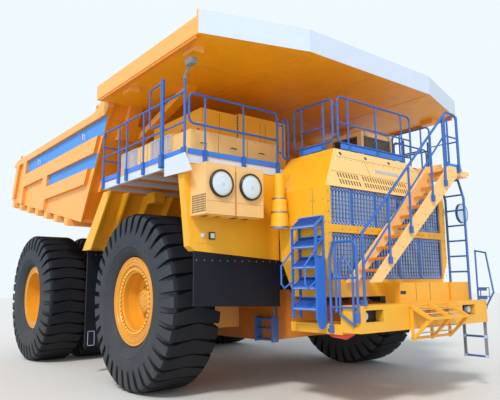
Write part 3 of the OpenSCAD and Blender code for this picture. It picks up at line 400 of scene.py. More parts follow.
# Looks and edge roundings of the CAD nodes: a name that ends with _ has a left and a right node
for look, width, names in (
    ("yellow", 0.014, "bumper hood cabinet_high"),
    ("yellow", 0.012, "fender_"),
    ("yellow", 0.01, "air_cleaners"),
    ("yellow", 0.006, "hoist_barrel_"),
    ("yellow", 0.004, "folding_ladder"),
    ("orange", 0.04, "fuel_tank air_tank"),
    ("orange", 0.02, "front_axle"),
    ("orange", 0.012, "rear_axle bed_sides bed_front bed_stringers"),
    ("orange", 0.01, "bed_floor knuckle_"),
    ("orange", 0.008, "suspension"),
    # The canopy's brighter orange is painted bounce light
    ("canopy", 0.01, "canopy"),
    # The darker orange on the frame is painted shade
    ("deep", 0.012, "frame"),
    ("rim", 0.006, "wheel_front_ wheel_rear_"),
    # Paler copies of the yellow paint on the lamp houses, low cabinet, stair and cab are painted light
    ("beige", 0.012, "headlamps"),
    ("peach", 0.012, "cabinet_low"),
    ("peach", 0.005, "stair"),
    ("cream", 0.02, "cab_shell"),
    ("cream", 0.008, "cab_door_"),
    ("white", 0.006, "deck_"),
    ("blue", 0, "rails_ rails_hood rails_walkway rails_bumper side_ladders"),
    ("azure", 0.005, "step_ladder"),
    ("blade", 0, "grille"),
    ("grey", 0.006, "mirrors"),
    ("rubber", 0, "tyre_front_ tyres_rear_"),
    ("flap", 0.006, "mudflaps"),
    ("fabric", 0.03, "seat"),
    ("black", 0, "steering_wheel"),
    ("dark", 0.01, "engine"),
    ("steel", 0, "hoist_stage_"),
    ("chrome", 0, "hoist_rod_"),
    ("glass", 0, "cab_glass"),
):
    for name in names.split():
        for full in (name + "left", name + "right") if name.endswith("_") else (name,):
            part = NODES[full]
            shade(part.data)
            part.data.materials.clear()
            part.data.materials.append(MAT[look])
            if width:
                flat = part.modifiers.new("flat", "DECIMATE")
                flat.decimate_type = "DISSOLVE"
                flat.angle_limit = radians(1)
                soften(part, width)

# Tyre section from the bead outwards, as (radius, half width)
SIDEWALL = [(0.729, 0.355), (0.8, 0.365), (0.872, 0.374), (0.888, 0.402), (0.91, 0.452), (0.96, 0.503),
            (1.03, 0.545), (1.075, 0.562), (1.085, 0.572), (1.105, 0.572), (1.115, 0.567), (1.18, 0.575),
            (1.27, 0.572), (1.325, 0.569)]
# Tread from the shoulder to the middle: (radius, half width) of the lug's top, then of the groove's floor
TREAD = [(1.337, 0.569, 1.333, 0.56), (1.42, 0.5635, 1.412, 0.531), (1.5, 0.557, 1.49, 0.512),
         (1.6, 0.543, 1.572, 0.468), (1.665, 0.528, 1.62, 0.434), (1.705, 0.5, 1.648, 0.41),
         (1.738, 0.462, 1.662, 0.388), (1.75, 0.425, 1.667, 0.362), (1.75, 0.25, 1.668, 0.25),
         (1.75, 0.11, 1.69, 0.11), (1.75, 0.0, 1.722, 0.0)]
LUGS = 36
HALF_WIDTH = 0.575
# How far a groove slants, in lug pitches, from the shoulder to the middle
SLANT = 0.3
# Half of a groove's share of the pitch in the middle, what it gains at the shoulder, and its flank
GROOVE, FLARE, FLANK = 0.02, 0.16, 0.03


# One column of the tyre's grid at a pitch: the lug's start, two groove edges, two groove floors
def tyre_column(column):
    rows = [(r, w, r, w) for r, w in SIDEWALL] + TREAD
    rows += [(r, -w, low_r, -low_w) for r, w, low_r, low_w in rows[-2::-1]]
    points = []
    for r, w, low_r, low_w in rows:
        share = abs(w) / HALF_WIDTH
        half = GROOVE + FLARE * min(1, share) ** 2
        place = (0.0, 0.5 - half - FLANK, 0.5 - half, 0.5 + half, 0.5 + half + FLANK)[column]
        angle = 2 * pi / LUGS * (place + SLANT * (1 - share))
        points.append((low_r, low_w, angle) if column in (2, 3) else (r, w, angle))
    return points


# Slanted lugs and grooves all round, as one closed skin
def add_tyre(piece, x, y):
    columns = [tyre_column(c) for c in range(5)]
    verts = []
    for i in range(LUGS):
        for points in columns:
            for r, w, angle in points:
                a = i * 2 * pi / LUGS + angle - pi / 2
                verts.append((x + r * cos(a), y + w, AXLE_Z + r * sin(a)))
    piece.skin(verts, LUGS * len(columns), len(columns[0]))


# The running face of a tyre gets the darker rubber as painted shade, its flanks the lighter rubber as painted
# light
def paint_tread_shade(tyre, x):
    tyre.data.materials.append(MAT["lug"])
    for face in tyre.data.polygons:
        middle = face.center - AXLE
        if hypot(middle.x - x, middle.z - AXLE_Z) > 1.34 and abs(face.normal.y) < 0.7:
            face.material_index = 1


def tyres(side, s):
    p = Piece()
    add_tyre(p, 0, s * FRONT_Y)
    tyre = p.make("tread_front_" + side, "rubber", "front_wheel_" + side, stands_for=["tyre_front_" + side])
    paint_tread_shade(tyre, 0)
    p = Piece()
    add_tyre(p, REAR_X, s * OUTER_Y)
    add_tyre(p, REAR_X, s * INNER_Y)
    tyre = p.make("treads_rear_" + side, "rubber", "rear_wheels_" + side, stands_for=["tyres_rear_" + side])
    paint_tread_shade(tyre, REAR_X)


# Front rim: lock rings, dished disc, hub cover, nuts on black discs as painted shade, and bolts
def front_rim(side, s):
    body = "front_wheel_" + side
    out = (0, s, 0)
    at = (0, s * FRONT_Y, AXLE_Z)
    p = Piece()
    for ring in ([(0.835, 0.42), (0.872, 0.42), (0.876, 0.432), (0.866, 0.44), (0.84, 0.436)],
                 [(0.765, 0.422), (0.815, 0.422), (0.812, 0.434), (0.775, 0.437)],
                 [(0.712, 0.42), (0.745, 0.42), (0.742, 0.431), (0.716, 0.431)],
                 [(0.562, 0.264), (0.562, 0.368), (0.576, 0.384), (0.684, 0.394), (0.696, 0.412),
                  (0.7, 0.392), (0.69, 0.372), (0.68, 0.312)]):
        p.turned(at, out, ring, 72)
    p.turned(at, out, [(0.4, 0.018), (0.47, 0.035), (0.465, 0.055), (0.405, 0.04)], 60)
    p.lathe(at, out, [(0.3, 0.02), (0.3, 0.09), (0.27, 0.12), (0.235, 0.125), (0.225, 0.19),
                      (0.19, 0.215), (0.08, 0.222)], 48)
    p.make("rim_rings_front_" + side, "rim", body, 0.004)
    nuts, radius, disc_y, shade_disc_thick = 44, 0.63, FRONT_Y + 0.3885, 0.003
    p = Piece().bolt_circle((0, s * (disc_y + shade_disc_thick), AXLE_Z), out, radius, nuts, 0.026, 0.032)
    p.make("rim_nuts_front_" + side, "gold", body)
    # Black discs under the nuts: painted shade round each nut
    p = Piece()
    for i in range(nuts):
        a = 2 * pi * i / nuts
        p.lathe((radius * cos(a), s * disc_y, AXLE_Z + radius * sin(a)), out,
                [(0.034, 0), (0.034, shade_disc_thick)], 16)
    p.make("rim_nut_shade_front_" + side, "black", body)
    p = Piece()
    p.bolt_circle((0, s * (FRONT_Y + 0.12), AXLE_Z), out, 0.262, 16, 0.014, 0.02, first=0.5)
    p.bolt_circle((0, s * (FRONT_Y + 0.217), AXLE_Z), out, 0.15, 8, 0.012, 0.014)
    p.make("rim_bolts_front_" + side, "steel", body)


# Rear rim: lock rings, hub cover and bolts
def rear_rim(side, s):
    body = "rear_wheels_" + side
    out = (0, s, 0)
    at = (REAR_X, s * OUTER_Y, AXLE_Z)
    p = Piece()
    for ring in ([(0.835, 0.38), (0.872, 0.38), (0.876, 0.396), (0.866, 0.404), (0.84, 0.4)],
                 [(0.765, 0.386), (0.815, 0.386), (0.812, 0.398), (0.775, 0.401)],
                 [(0.56, -0.06), (0.62, -0.05), (0.615, -0.02), (0.565, -0.03)]):
        p.turned(at, out, ring, 72)
    p.lathe(at, out, [(0.42, -0.058), (0.42, -0.03), (0.38, 0.0), (0.15, 0.02), (0.12, 0.05)], 48)
    p.make("rim_rings_rear_" + side, "rim", body, 0.004)
    p = Piece()
    p.bolt_circle((REAR_X, s * (OUTER_Y - 0.058), AXLE_Z), out, 0.5, 36, 0.022, 0.032)
    p.bolt_circle((REAR_X, s * (OUTER_Y + 0.004), AXLE_Z), out, 0.33, 12, 0.015, 0.018)
    p.make("rim_bolts_rear_" + side, "steel", body)


# Dump body's side: blue panels with small brackets, plates with lifting eyes, and the front post's end
def bed_side(side, s):
    panel_y = WALL_Y + GAP
    p = Piece()
    for outline in ([(-7.4, 5.532), (-1.63, 5.532), (-1.377, 5.938), (-7.307, 5.938)],
                    [(-5.335, 4.832), (-2.07, 4.832), (-1.87, 5.148), (-5.277, 5.148)]):
        p.plate(s * panel_y, s * 3.537, outline)
    p.make("side_stripes_" + side, "stripe", "bed")
    p = Piece()
    for x in (-2.75, -6.2):
        p.block((x, s * 3.5372, 5.62), (x + 0.03, s * 3.62, 5.78))
        p.block((x, s * 3.608, 5.62), (x + 0.07, s * 3.62, 5.78))
    p.make("panel_brackets_" + side, "white", "bed")
    wall_z, eye_y = 6.1303, s * 3.575
    p = Piece()
    p.plate(s * 3.535, s * 3.615,
            [(-2.1, wall_z), (-1.2403, wall_z), (-1.2403, 6.5), (-1.5, 6.4), (-1.72, 6.24)])
    p.collar((-1.86, eye_y, 6.225), (0, s, 0), 0.045, 0.09, 0.03, 28)
    p.collar((-8.0, eye_y, 6.19), (0, s, 0), 0.035, 0.075, 0.02, 28)
    p.block((-8.07, eye_y - 0.02, 6.1), (-7.93, eye_y + 0.02, 6.15))
    p.make("lifting_eyes_" + side, "orange", "bed", 0.004)
    post_x, top_z = -1.3597, 6.1897
    p = Piece()
    p.plate(s * 3.4703, s * 3.6147, [(post_x, 5.945), (post_x, top_z), (-1.2, top_z), (-1.2, 6.09)])
    p.block((-2.1, s * 3.4703, wall_z), (-1.3603, s * 3.5347, top_z))
    p.make("front_post_ends_" + side, "orange", "bed")


# Headlamps: dark rings, ringed lenses with a bulb cap, vents with painted shade in their holes, brackets and
# seams
def headlamp_trim(side, s):
    lamps = (2.59, 3.22)
    rings, lenses, bulbs = Piece(), Piece(), Piece()
    for y in lamps:
        at = (2.7, s * y, 3.76)
        rings.turned(at, AHEAD, [(0.206, -0.024), (0.238, -0.055), (0.24, 0.006), (0.231, 0.016),
                                 (0.212, 0.012)], 64)
        lenses.lathe(at, AHEAD, [(0.2065, -0.022), (0.205, -0.006), (0.17, 0.006), (0.165, 0.003),
                                 (0.12, 0.012), (0.115, 0.009), (0.06, 0.015), (0.01, 0.016)], 56)
        at = (2.712, s * y + 0.01, 3.75)
        bulbs.lathe(at, AHEAD, [(0.034, 0), (0.03, 0.006), (0.01, 0.009)], 20)
    rings.make("lamp_rings_" + side, "black")
    lenses.make("lamp_lenses_" + side, "lamp")
    bulbs.make("lamp_bulbs_" + side, "pale")
    pitch, house_y, house_z = 0.039, 3.527, 3.23
    # Black blocks in a grid for the vent's holes, and black strips under the lamp houses: painted shade
    p = Piece()
    for i in range(11):
        for k in range(8):
            x, z = 2.24 + i * pitch, 3.27 + k * pitch
            p.block((x, s * (house_y + 0.0002), z), (x + 0.024, s * (house_y + 0.0017), z + 0.026))
    for y in (2.45, 2.72, 3.08, 3.34):
        p.block((2.25, s * y - 0.05, house_z - 0.0015), (2.6, s * y + 0.05, house_z - 0.0002))
    p.make("lamp_vents_" + side, "black")
    p = Piece()
    for y in lamps:
        for x in (2.24, 2.58):
            p.block((x, s * y - 0.24, 3.205), (x + 0.03, s * y + 0.24, house_z - 0.0005))
    p.make("lamp_brackets_" + side, "yellow", bevel=0.002)
    house_x = 2.6606
    p = Piece()
    p.block((house_x, s * 2.905 - 0.015, 3.24), (house_x + 0.0012, s * 2.905 + 0.015, 4.0))
    for y in lamps:
        p.block((house_x, s * y - 0.29, 3.45), (house_x + 0.0008, s * y + 0.29, 3.456))
    p.make("lamp_seams_" + side, "deep")


# Marker lamps on the fender: plate, square box, its lens and a round lamp
def marker_lamps(side, s):
    box_y = s * 3.09
    p = Piece().block((PANEL_X + GAP, s * 3.15 - 0.24, 2.77), (2.186, s * 3.15 + 0.24, 3.02))
    p.make("marker_plate_" + side, "yellow", bevel=0.002)
    p = Piece().block((2.1863, box_y - 0.062, 2.845), (2.222, box_y + 0.062, 2.975))
    p.make("marker_box_" + side, "black", bevel=0.01)
    p = Piece()
    p.block((2.2223, box_y - 0.042, 2.866), (2.226, box_y + 0.042, 2.954))
    p.lathe((2.186, s * 3.27, 2.915), AHEAD, [(0.04, 0), (0.038, 0.018), (0.015, 0.026)])
    p.make("marker_lens_" + side, "lamp")


# Canopy: white boards on its front and corners, beams under its side edges, and weld seams
def canopy_trim():
    z0, z1 = 6.192, 6.618
    thick = 0.006
    p = Piece()
    p.block((3.5193, -1.851, z0), (3.526, 1.851, z1))
    for s in BOTH:
        start, end = Vector((3.519, s * 1.851)), Vector((2.932, s * 3.872))
        along = (end - start).normalized()
        end -= along * 0.004
        out = Vector((along.y, -along.x)) * s
        verts = [(v.x, v.y, z) for z in (z0, z1)
                 for v in (start + out * GAP, end + out * GAP, end + out * thick, start + out * thick)]
        p.add(verts, [(0, 1, 2, 3), (7, 6, 5, 4), (0, 4, 5, 1), (1, 5, 6, 2), (2, 6, 7, 3), (3, 7, 4, 0)])
    p.make("canopy_boards", "white", "bed")
    p = Piece()
    for s in BOTH:
        p.block((-1.1, s * 3.79, 6.135), (2.85, s * 3.862, 6.1897))
    p.make("canopy_edge_beams", "tread", "bed", 0.004)
    p = Piece()
    for z in (6.1895, 6.2505):
        for y in (-1.85, 0.0, 1.85):
            p.bar((-1.2, y, z), (3.42, y, z), 0.005)
        for x in (0.4, 1.9):
            p.bar((x, -3.78, z), (x, 3.78, z), 0.005)
    p.make("canopy_seams", "orange", "bed")


# Grille: dark ground between the blades, straps, cross wires and rows of light rivets
def grille_trim():
    ground, straps, wires, rivets = Piece(), Piece(), Piece(), Piece()
    face_x = 3.68
    for z0, z1 in GRILLES:
        ground.block((HOOD_X - 0.0797, -1.668, z0 + 0.001), (HOOD_X - 0.078, 1.618, z1 - 0.001))
        for y in (-1.13, -0.48, 0.19, 0.85):
            straps.block((3.6932, y - 0.002, z0 + 0.002), (3.697, y + 0.072, z1 - 0.002))
        for z in (z0 + 0.002, z1 - 0.071):
            straps.block((3.6632, -1.664, z), (face_x, 1.614, z + 0.068))
        for y in (-1.666, 1.586):
            straps.block((3.6632, y, z0 + 0.07), (3.7, y + 0.03, z1 - 0.07))
        z = z0 + 0.13
        while z < z1 - 0.1:
            wires.bar((3.684, -1.66, z), (3.684, 1.61, z), 0.0035)
            z += 0.075
        for z in (z0 + 0.036, z1 - 0.037):
            for i in range(78):
                at = (face_x, -1.64 + i * 0.0415, z + (0.012 if i % 2 else -0.012))
                rivets.lathe(at, AHEAD, [(0.013, 0), (0.01, 0.006)], 8)
    ground.make("grille_ground", "core")
    straps.make("grille_straps", "blue", bevel=0.003)
    wires.make("grille_wires", "dark")
    rivets.make("grille_rivets", "white")


# How far forward the hood's leaning face stands at a height
def slope(z):
    return HOOD_X - 0.35 * (z - HOOD_Z) / 0.805


# Hood: louvres and four round holes as black plates, painted shade in the openings, a blank plate, seams and
# bolts
def hood_trim():
    lean = Vector((0.805, 0, 0.35)).normalized()
    # Black plates in the louvres and holes: painted shade
    p = Piece()
    for z0, z1 in ((3.805, 3.9), (3.935, 4.03)):
        outline = [(slope(z) - deep, z + up) for z, up, deep in (
            (z0, 0.0005, 0.0298), (z0, 0.0005, 0.005), (z1, -0.0005, 0.005), (z1, -0.0005, 0.0298))]
        for first, count in ((-1.36, 8), (-0.675, 18), (0.8, 8)):
            for i in range(count):
                y = first + i * 0.075
                p.plate(y + 0.0005, y + 0.0355, outline)
    for y in (-1.04, -0.32, 0.4, 1.06):
        p.lathe((slope(4.45), y, 4.45), lean, [(0.036, 0.0), (0.036, 0.0012)], 28)
    p.make("hood_holes", "black")
    z0, z1 = 4.165, 4.235
    corners = ((z0, GAP), (z0, 0.006), (z1, 0.006), (z1, GAP))
    p = Piece().plate(-0.21, 0.53, [(slope(z) + out, z) for z, out in corners])
    p.make("hood_plate", "chrome", bevel=0.002)
    upper, lower = 4.38, 4.05
    p = Piece()
    for y0, z0, y1, z1 in ((-1.2, upper, 1.2, upper), (-0.4, upper, -0.4, lower), (-1.5, lower, 1.5, lower)):
        p.bar((slope(z0), y0, z0), (slope(z1), y1, z1), 0.0035)
    for s in BOTH:
        y = s * (HOOD_Y + 0.0002)
        p.bar((3.4, y, 2.5), (3.4, y, 3.73), 0.003)
        p.bar((2.57, y, 3.1), (3.7, y, 3.1), 0.003)
    p.make("hood_seams", "dark")
    p = Piece()
    for s in BOTH:
        for z in (2.6, 2.9, 3.2, 3.5):
            for x in (2.62, 3.36, 3.44, 3.66):
                p.bolt((x, s * HOOD_Y, z), (0, s, 0), 0.012, 0.008)
        for i in range(9):
            p.bolt((HOOD_X, s * 1.735, 2.2 + i * 0.18), AHEAD, 0.012, 0.008)
    for i in range(-7, 8):
        p.bolt((HOOD_X, i * 0.2, 3.0), AHEAD, 0.011, 0.008)
        p.bolt((slope(4.34), i * 0.16, 4.34), lean, 0.011, 0.008)
    p.make("hood_bolts", "steel")


# Stair across the grille: tread plates with ribs, and bolts in its outer cheek
def stair_trim():
    treads, ribs, bolts = Piece(), Piece(), Piece()
    for i in range(1, 11):
        rise, run = i * 0.205, i * 0.245
        y, z = run - 1.29, rise + 2.0853
        treads.block((3.812, y - 0.058, z), (4.278, y + 0.158, z + 0.006))
        treads.block((3.812, y - 0.0625, z - 0.034), (4.278, y - 0.0602, z + 0.006))
        for k in range(15):
            x = 3.83 + k * 0.03
            ribs.block((x, y - 0.05, z + 0.0062), (x + 0.012, y + 0.15, z + 0.0105))
        for y in (-1.27, -1.15):
            bolts.bolt((4.33, run + y, rise + 2.07), AHEAD, 0.009, 0.007)
    treads.make("stair_treads", "tread", bevel=0.0015)
    ribs.make("stair_tread_ribs", "yellow")
    bolts.make("stair_bolts", "steel")


# Step ladder: dark diagonal ribs on its treads, their pale edges and braces
def step_ladder_trim():
    ribs, edges, braces = Piece(), Piece(), Piece()
    for i in range(5):
        drop = i * 0.345
        front_y, front_z, back_y, back_z = -1.996, 3.03 - drop, -1.788, 3.217 - drop
        for k in range(8):
            x = 3.085 + k * 0.066
            ribs.bar((x, front_y + 0.03, front_z + 0.032), (x + 0.05, back_y - 0.03, back_z - 0.018), 0.009)
        for y, z in ((front_y, front_z - 0.008), (back_y - 0.01, back_z + 0.002)):
            edges.bar((3.09, y, z), (3.62, y, z), 0.01, 8)
    ribs.make("step_ribs", "navy")
    edges.make("step_edges", "blade")
    for x in (3.05, 3.625):
        for z in (3.0, 2.8):
            braces.block((x + 0.003, -1.99, z), (x + 0.032, -1.785, z + 0.01))
    braces.make("step_braces", "stripe")


# Cabinets on the right deck: slats and slots, handles, seams, knobs, a punched strip and bolts
def cabinet_trim():
    side_y, louvres = -3.33, (-1.0, 0.34)
    p = Piece()
    for x in louvres:
        for i in range(14):
            slat_x = x - 0.026 + i * 0.06
            p.block((slat_x, side_y - 0.006, 4.535), (slat_x + 0.025, side_y - GAP, 4.945))
        for z in (4.515, 4.942):
            p.block((x - 0.03, side_y - 0.008, z), (x + 0.785, side_y - GAP, z + 0.022))
    p.make("cabinet_slats", "pale", bevel=0.001)
    # Dark plates in the slots between the slats: painted shade
    p = Piece()
    for x in louvres:
        for i in range(13):
            p.block((x + i * 0.06 + 0.0005, -3.3012, 4.5405), (x + i * 0.06 + 0.0335, -3.3003, 4.9395))
    p.make("cabinet_slots", "core")
    low_x, high_x = 1.85, 1.1
    p = Piece()
    for y in (-3.05, -2.35, -1.65):
        p.tube([(x, y + dy, 4.66) for dy, x in (
            (-0.06, low_x + GAP), (-0.06, 1.885), (0.06, 1.885), (0.06, low_x + GAP))], 0.008, 0.012, 8)
    for y in (-2.98, -1.72, -0.65):
        p.block((high_x + GAP, y - 0.03, 4.95), (1.112, y + 0.03, 5.05))
    p.make("cabinet_handles", "dark")
    p = Piece()
    for y in (-2.7, -2.0):
        p.bar((low_x + 0.0015, y, 4.33), (low_x + 0.0015, y, 4.88), 0.003)
    for x in (0.2, -0.1):
        p.bar((x, side_y - 0.0015, 4.33), (x, side_y - 0.0015, 4.94), 0.003)
    for y in (-2.15, -1.05, -0.9):
        p.bar((high_x + 0.0015, y, 4.92), (high_x + 0.0015, y, 5.6), 0.003)
    p.make("cabinet_seams", "black")
    p = Piece()
    for x, y, z in ((-0.1, -3.1, 4.96), (0.28, -3.1, 4.96), (1.35, -3.2, 4.9), (1.6, -3.0, 4.9)):
        p.lathe((x, y, z + GAP), UP,
                [(0.045, 0), (0.045, 0.05), (0.03, 0.06), (0.03, 0.11), (0.012, 0.125)], 20)
    p.make("cabinet_knobs", "red")
    # Black discs in the punched strip's holes: painted shade
    p = Piece()
    for i in range(11):
        p.lathe((high_x + 0.0006, -1.675, 4.98 + i * 0.062), AHEAD, [(0.014, 0), (0.014, 0.002)], 12)
    p.make("strip_holes", "black")
    p = Piece().block((1.09, -1.698, 4.92), (high_x + GAP, -1.652, 5.66))
    p.make("cabinet_strip", "steel", bevel=0.002)
    p = Piece()
    for y0, y1, top in ((-2.6, -1.7, 5.65), (-1.65, -0.3, 5.7)):
        middle = (y0 + y1) / 2
        for y in (y0 + 0.05, middle, y1 - 0.05):
            for z in (4.98, 5.3, top - 0.05):
                p.bolt((high_x, y, z), AHEAD, 0.009, 0.006)
        for x in (-0.45, 0.1, 0.7):
            p.collar((x, middle, top + 0.055), AHEAD, 0.025, 0.05, 0.012, 20)
    for y in (-3.25, -2.8, -2.3, -1.8, -1.35):
        for z in (4.86, 4.36):
            p.bolt((low_x, y, z), AHEAD, 0.009, 0.006)
    p.make("cabinet_bolts", "steel")


# Bumper: black plates as painted shade in its recesses, fog lamps, trim, bolts, seams, tow holes and hook
def bumper_trim():
    recess_x, bottom_z, top_z = 4.196, 1.4503, 1.6333
    black_plates, lamps, trim = Piece(), Piece(), Piece()
    for s in BOTH:
        black_plates.block((recess_x + GAP, s * 1.188, 1.452), (recess_x + 0.002, s * 1.624, 1.633))
        for z in (bottom_z, top_z):
            black_plates.block((recess_x + 0.002, s * 1.188, z), (4.35, s * 1.624, z + 0.0014))
        lamps.lathe((4.21, s * 1.545, 1.54), AHEAD,
                    [(0.07, 0), (0.074, 0.05), (0.066, 0.07), (0.03, 0.085)], 32)
        for z in (1.434, 1.6355):
            trim.block((4.3563, s * 1.17, z), (4.36, s * 1.64, z + 0.015))
    black_plates.block((BUMPER_X + GAP, -0.29, 1.86), (BUMPER_X + 0.0012, -0.13, 1.92))
    for y in (-0.1, 0.25, 0.6, 0.95, 1.42, 1.66, 1.9):
        trim.bolt((BUMPER_X, y, 2.02), AHEAD, 0.012, 0.008)
    black_plates.make("bumper_recesses", "black")
    lamps.make("fog_lamps", "lamp")
    trim.make("bumper_trim", "yellow", bevel=0.002)
    p = Piece()
    for y in (0.18, 0.62):
        p.bar((BUMPER_X + 0.0015, y, 1.73), (BUMPER_X + 0.0015, y, 2.065), 0.003)
    p.make("bumper_seams", "dark")
    # Black discs in the tow holes: painted shade
    p = Piece()
    for s in BOTH:
        p.lathe((3.68, s * 1.7503, 1.3), (0, s, 0), [(0.035, 0), (0.035, 0.0012)])
    p.make("tow_holes", "black")
    p = Piece()
    p.plate(-1.74, -1.7,
            [(3.62, 1.238), (4.02, 1.238), (4.2, 1.275), (4.2, 1.262), (4.02, 1.17), (3.72, 1.19)])
    p.make("tow_hook", "red", bevel=0.006)


# Folding ladder: treads with a ribbed face between its frames, and bolts
def folding_ladder_trim():
    body = "folding_ladder"
    treads, ribs, bolts = Piece(), Piece(), Piece()
    for y0, y1 in ((-0.448, 0.073), (0.117, 0.638)):
        for x, z in ((4.44, 1.6), (4.56, 1.535), (4.68, 1.475), (4.47, 1.215), (4.6, 1.32)):
            treads.block((x - 0.055, y0, z), (x + 0.045, y1, z + 0.006))
            for k in range(14):
                y = y0 + 0.02 + k * (y1 - y0 - 0.04) / 13
                ribs.block((x - 0.05, y - 0.006, z + 0.0062), (x + 0.04, y + 0.006, z + 0.0095))
    treads.make("folding_treads", "yellow", body, 0.0015)
    ribs.make("folding_tread_ribs", "white", body)
    for y, out in ((-0.4955, -1), (0.1155, 1), (0.6805, 1)):
        for x, z in ((4.4, 1.64), (4.4, 1.14), (4.73, 1.455)):
            bolts.bolt((x, y, z), (0, out, 0), 0.013, 0.01)
    bolts.make("folding_bolts", "steel", body)


# Hanging ladder at the bumper's left end: pale corner plates and grey strips, and the side steps
def hanging_ladder_trim():
    rungs, rails, half = (0.6, 0.985, 1.36), (3.84, 4.29), 0.035
    outer, strips, inner = Piece(), Piece(), Piece()
    for x in rails:
        for z in rungs:
            outer.block((x - half, 2.1108, z - 0.03), (x + half, 2.118, z + 0.03))
            inner.block((x - half, 2.07, z - 0.028), (x + half, 2.0798, z + 0.028))
        for z0, z1 in ((0.63, 0.955), (1.015, 1.33)):
            strips.block((x - 0.028, 2.068, z0), (x + 0.028, 2.0798, z1))
    outer.make("hanging_corners", "pale", bevel=0.002)
    strips.make("hanging_side_strips", "grey", bevel=0.002)
    inner.make("hanging_side_corners", "pale", bevel=0.002)
    x0, x1, y0, y1 = 4.1975, 4.4, 2.045, 2.16
    p = Piece()
    for z in (1.77, 1.94):
        p.block((x0, y0, z), (x1, y1, z + 0.018))
        p.block((x0, y0, z - 0.05), (x1, y0 + 0.01, z))
    p.block((x0, y1 - 0.01, 1.72), (4.215, y1, 1.96))
    p.block((4.385, y1 - 0.01, 1.72), (x1, y1, 1.96))
    p.make("side_step_plates", "blue", bevel=0.002)


# Round mirror: rim and two faces
def mirror_trim():
    y, z = 2.265, 3.52
    Piece().collar((3.85, y, z), AHEAD, 0.198, 0.212, 0.026, 48).make("mirror_rim", "blue")
    p = Piece()
    for s in BOTH:
        p.lathe((3.85 + s * 0.0203, y, z), (s, 0, 0), [(0.196, 0), (0.19, 0.004)], 40)
    p.make("mirror_faces", "mirror")


# Cab: window gaskets, wipers, roof edge with its hatch, door handles and panes, roof lamps
def cab_trim():
    front_x, sill, head, rim = 1.7503, 5.0, 5.6, 0.018
    p = Piece()
    p.border("x", (front_x, 1.757), 1.71, 2.71, sill, head, rim)
    p.border("x", (-0.257, -0.2503), 1.8, 2.62, sill, head, rim)
    for s, y in ((-1, 1.6), (1, 2.82)):
        p.border("y", (y + s * GAP, y + s * 0.007), 0.85, 1.6, sill, head, rim)
    p.make("cab_gaskets", "black", bevel=0.0015)
    p = Piece()
    for y in (1.95, 2.42):
        p.tube([(1.762, y, 4.97), (1.772, y + 0.02, sill), (1.766, y + 0.14, 5.38)], 0.006, 0.01, 8)
        p.bar((1.764, y + 0.05, 5.2), (1.764, y + 0.21, 5.52), 0.006)
        p.lathe((front_x, y, 4.96), AHEAD, [(0.022, 0), (0.02, 0.02)], 16)
    p.make("cab_wipers", "black")
    p = Piece()
    p.block((-0.27, 1.585, 5.7303), (1.77, 2.835, 5.745))
    p.block((0.1, 1.9, 5.7453), (0.7, 2.5, 5.775))
    p.make("cab_roof_edge", "yellow", bevel=0.004)
    for door, s, y in (("cab_door_right", -1, 1.6), ("cab_door_left", 1, 2.82)):
        near, far = y + s * GAP, y + s * 0.04
        grip = [(0.56, near, 4.85), (0.56, far, 4.85), (0.56, far, 5.0), (0.56, near, 5.0)]
        p = Piece().tube(grip, 0.009, 0.015, 8)
        p.make(door + "_handle", "black", door)
        p = Piece().block((0.041, y - s * 0.036, sill), (0.559, y - s * 0.024, 5.51))
        p.make(door + "_pane", "glass", door)
    p = Piece()
    for y in (1.75, 2.67):
        p.lathe((front_x, y, 5.67), AHEAD, [(0.05, 0), (0.05, 0.03), (0.045, 0.05)])
    p.make("cab_lamps", "lamp")


# Inside the cab: console, side locker, pedals, head rest and seat cushions
def cab_inside():
    floor_z = 4.372
    p = Piece()
    p.block((1.35, 1.72, floor_z), (1.66, 2.0, 4.9))
    p.block((1.42, 2.0, 4.75), (1.66, 2.7, 4.92))
    p.block((0.5, 2.55, floor_z), (1.0, 2.72, 4.86))
    for y in (2.12, 2.26):
        p.block((1.3, y, 4.42), (1.38, y + 0.08, 4.56))
    p.make("cab_console", "black", bevel=0.012)
    Piece().block((0.47, 2.06, 5.4503), (0.57, 2.36, 5.58)).make("head_rest", "fabric", bevel=0.03)
    p = Piece()
    p.block((0.58, 1.93, 4.8503), (1.08, 2.49, 4.9))
    p.block((0.5905, 1.95, 4.92), (0.64, 2.47, 5.4))
    p.make("seat_cushions", "fabric", bevel=0.02)


# Air cleaners: clamps round the canisters and pale caps below
def cleaner_trim():
    clamps, caps = Piece(), Piece()
    x = 2.72
    for s in BOTH:
        y = s * 1.9533
        for z, r in ((3.075, 0.172), (3.35, 0.155), (3.6, 0.134)):
            clamps.collar((x, y, z), UP, r, r + 0.006, 0.012, 40)
        caps.lathe((x, y, 3.0597), (0, 0, -1), [(0.165, 0), (0.16, 0.004), (0.05, 0.008)], 32)
    clamps.make("cleaner_clamps", "steel")
    caps.make("cleaner_caps", "pale")


# Tanks: straps round them, and filler caps
def tank_trim():
    straps, caps = Piece(), Piece()
    half = 0.03
    for s in BOTH:
        for x in (-3.35, -2.9):
            for z in (2.3503, 1.244):
                straps.block((x - half, s * 1.06, z), (x + half, s * 2.31, z + 0.0057))
            straps.block((x - half, s * 2.3003, 1.25), (x + half, s * 2.306, 2.35))
        at = (-3.12, s * 2.1, 2.3503)
        caps.lathe(at, UP, [(0.06, 0), (0.06, 0.04), (0.075, 0.045), (0.075, 0.08)])
    straps.make("tank_straps", "steel", bevel=0.002)
    caps.make("tank_caps", "red")


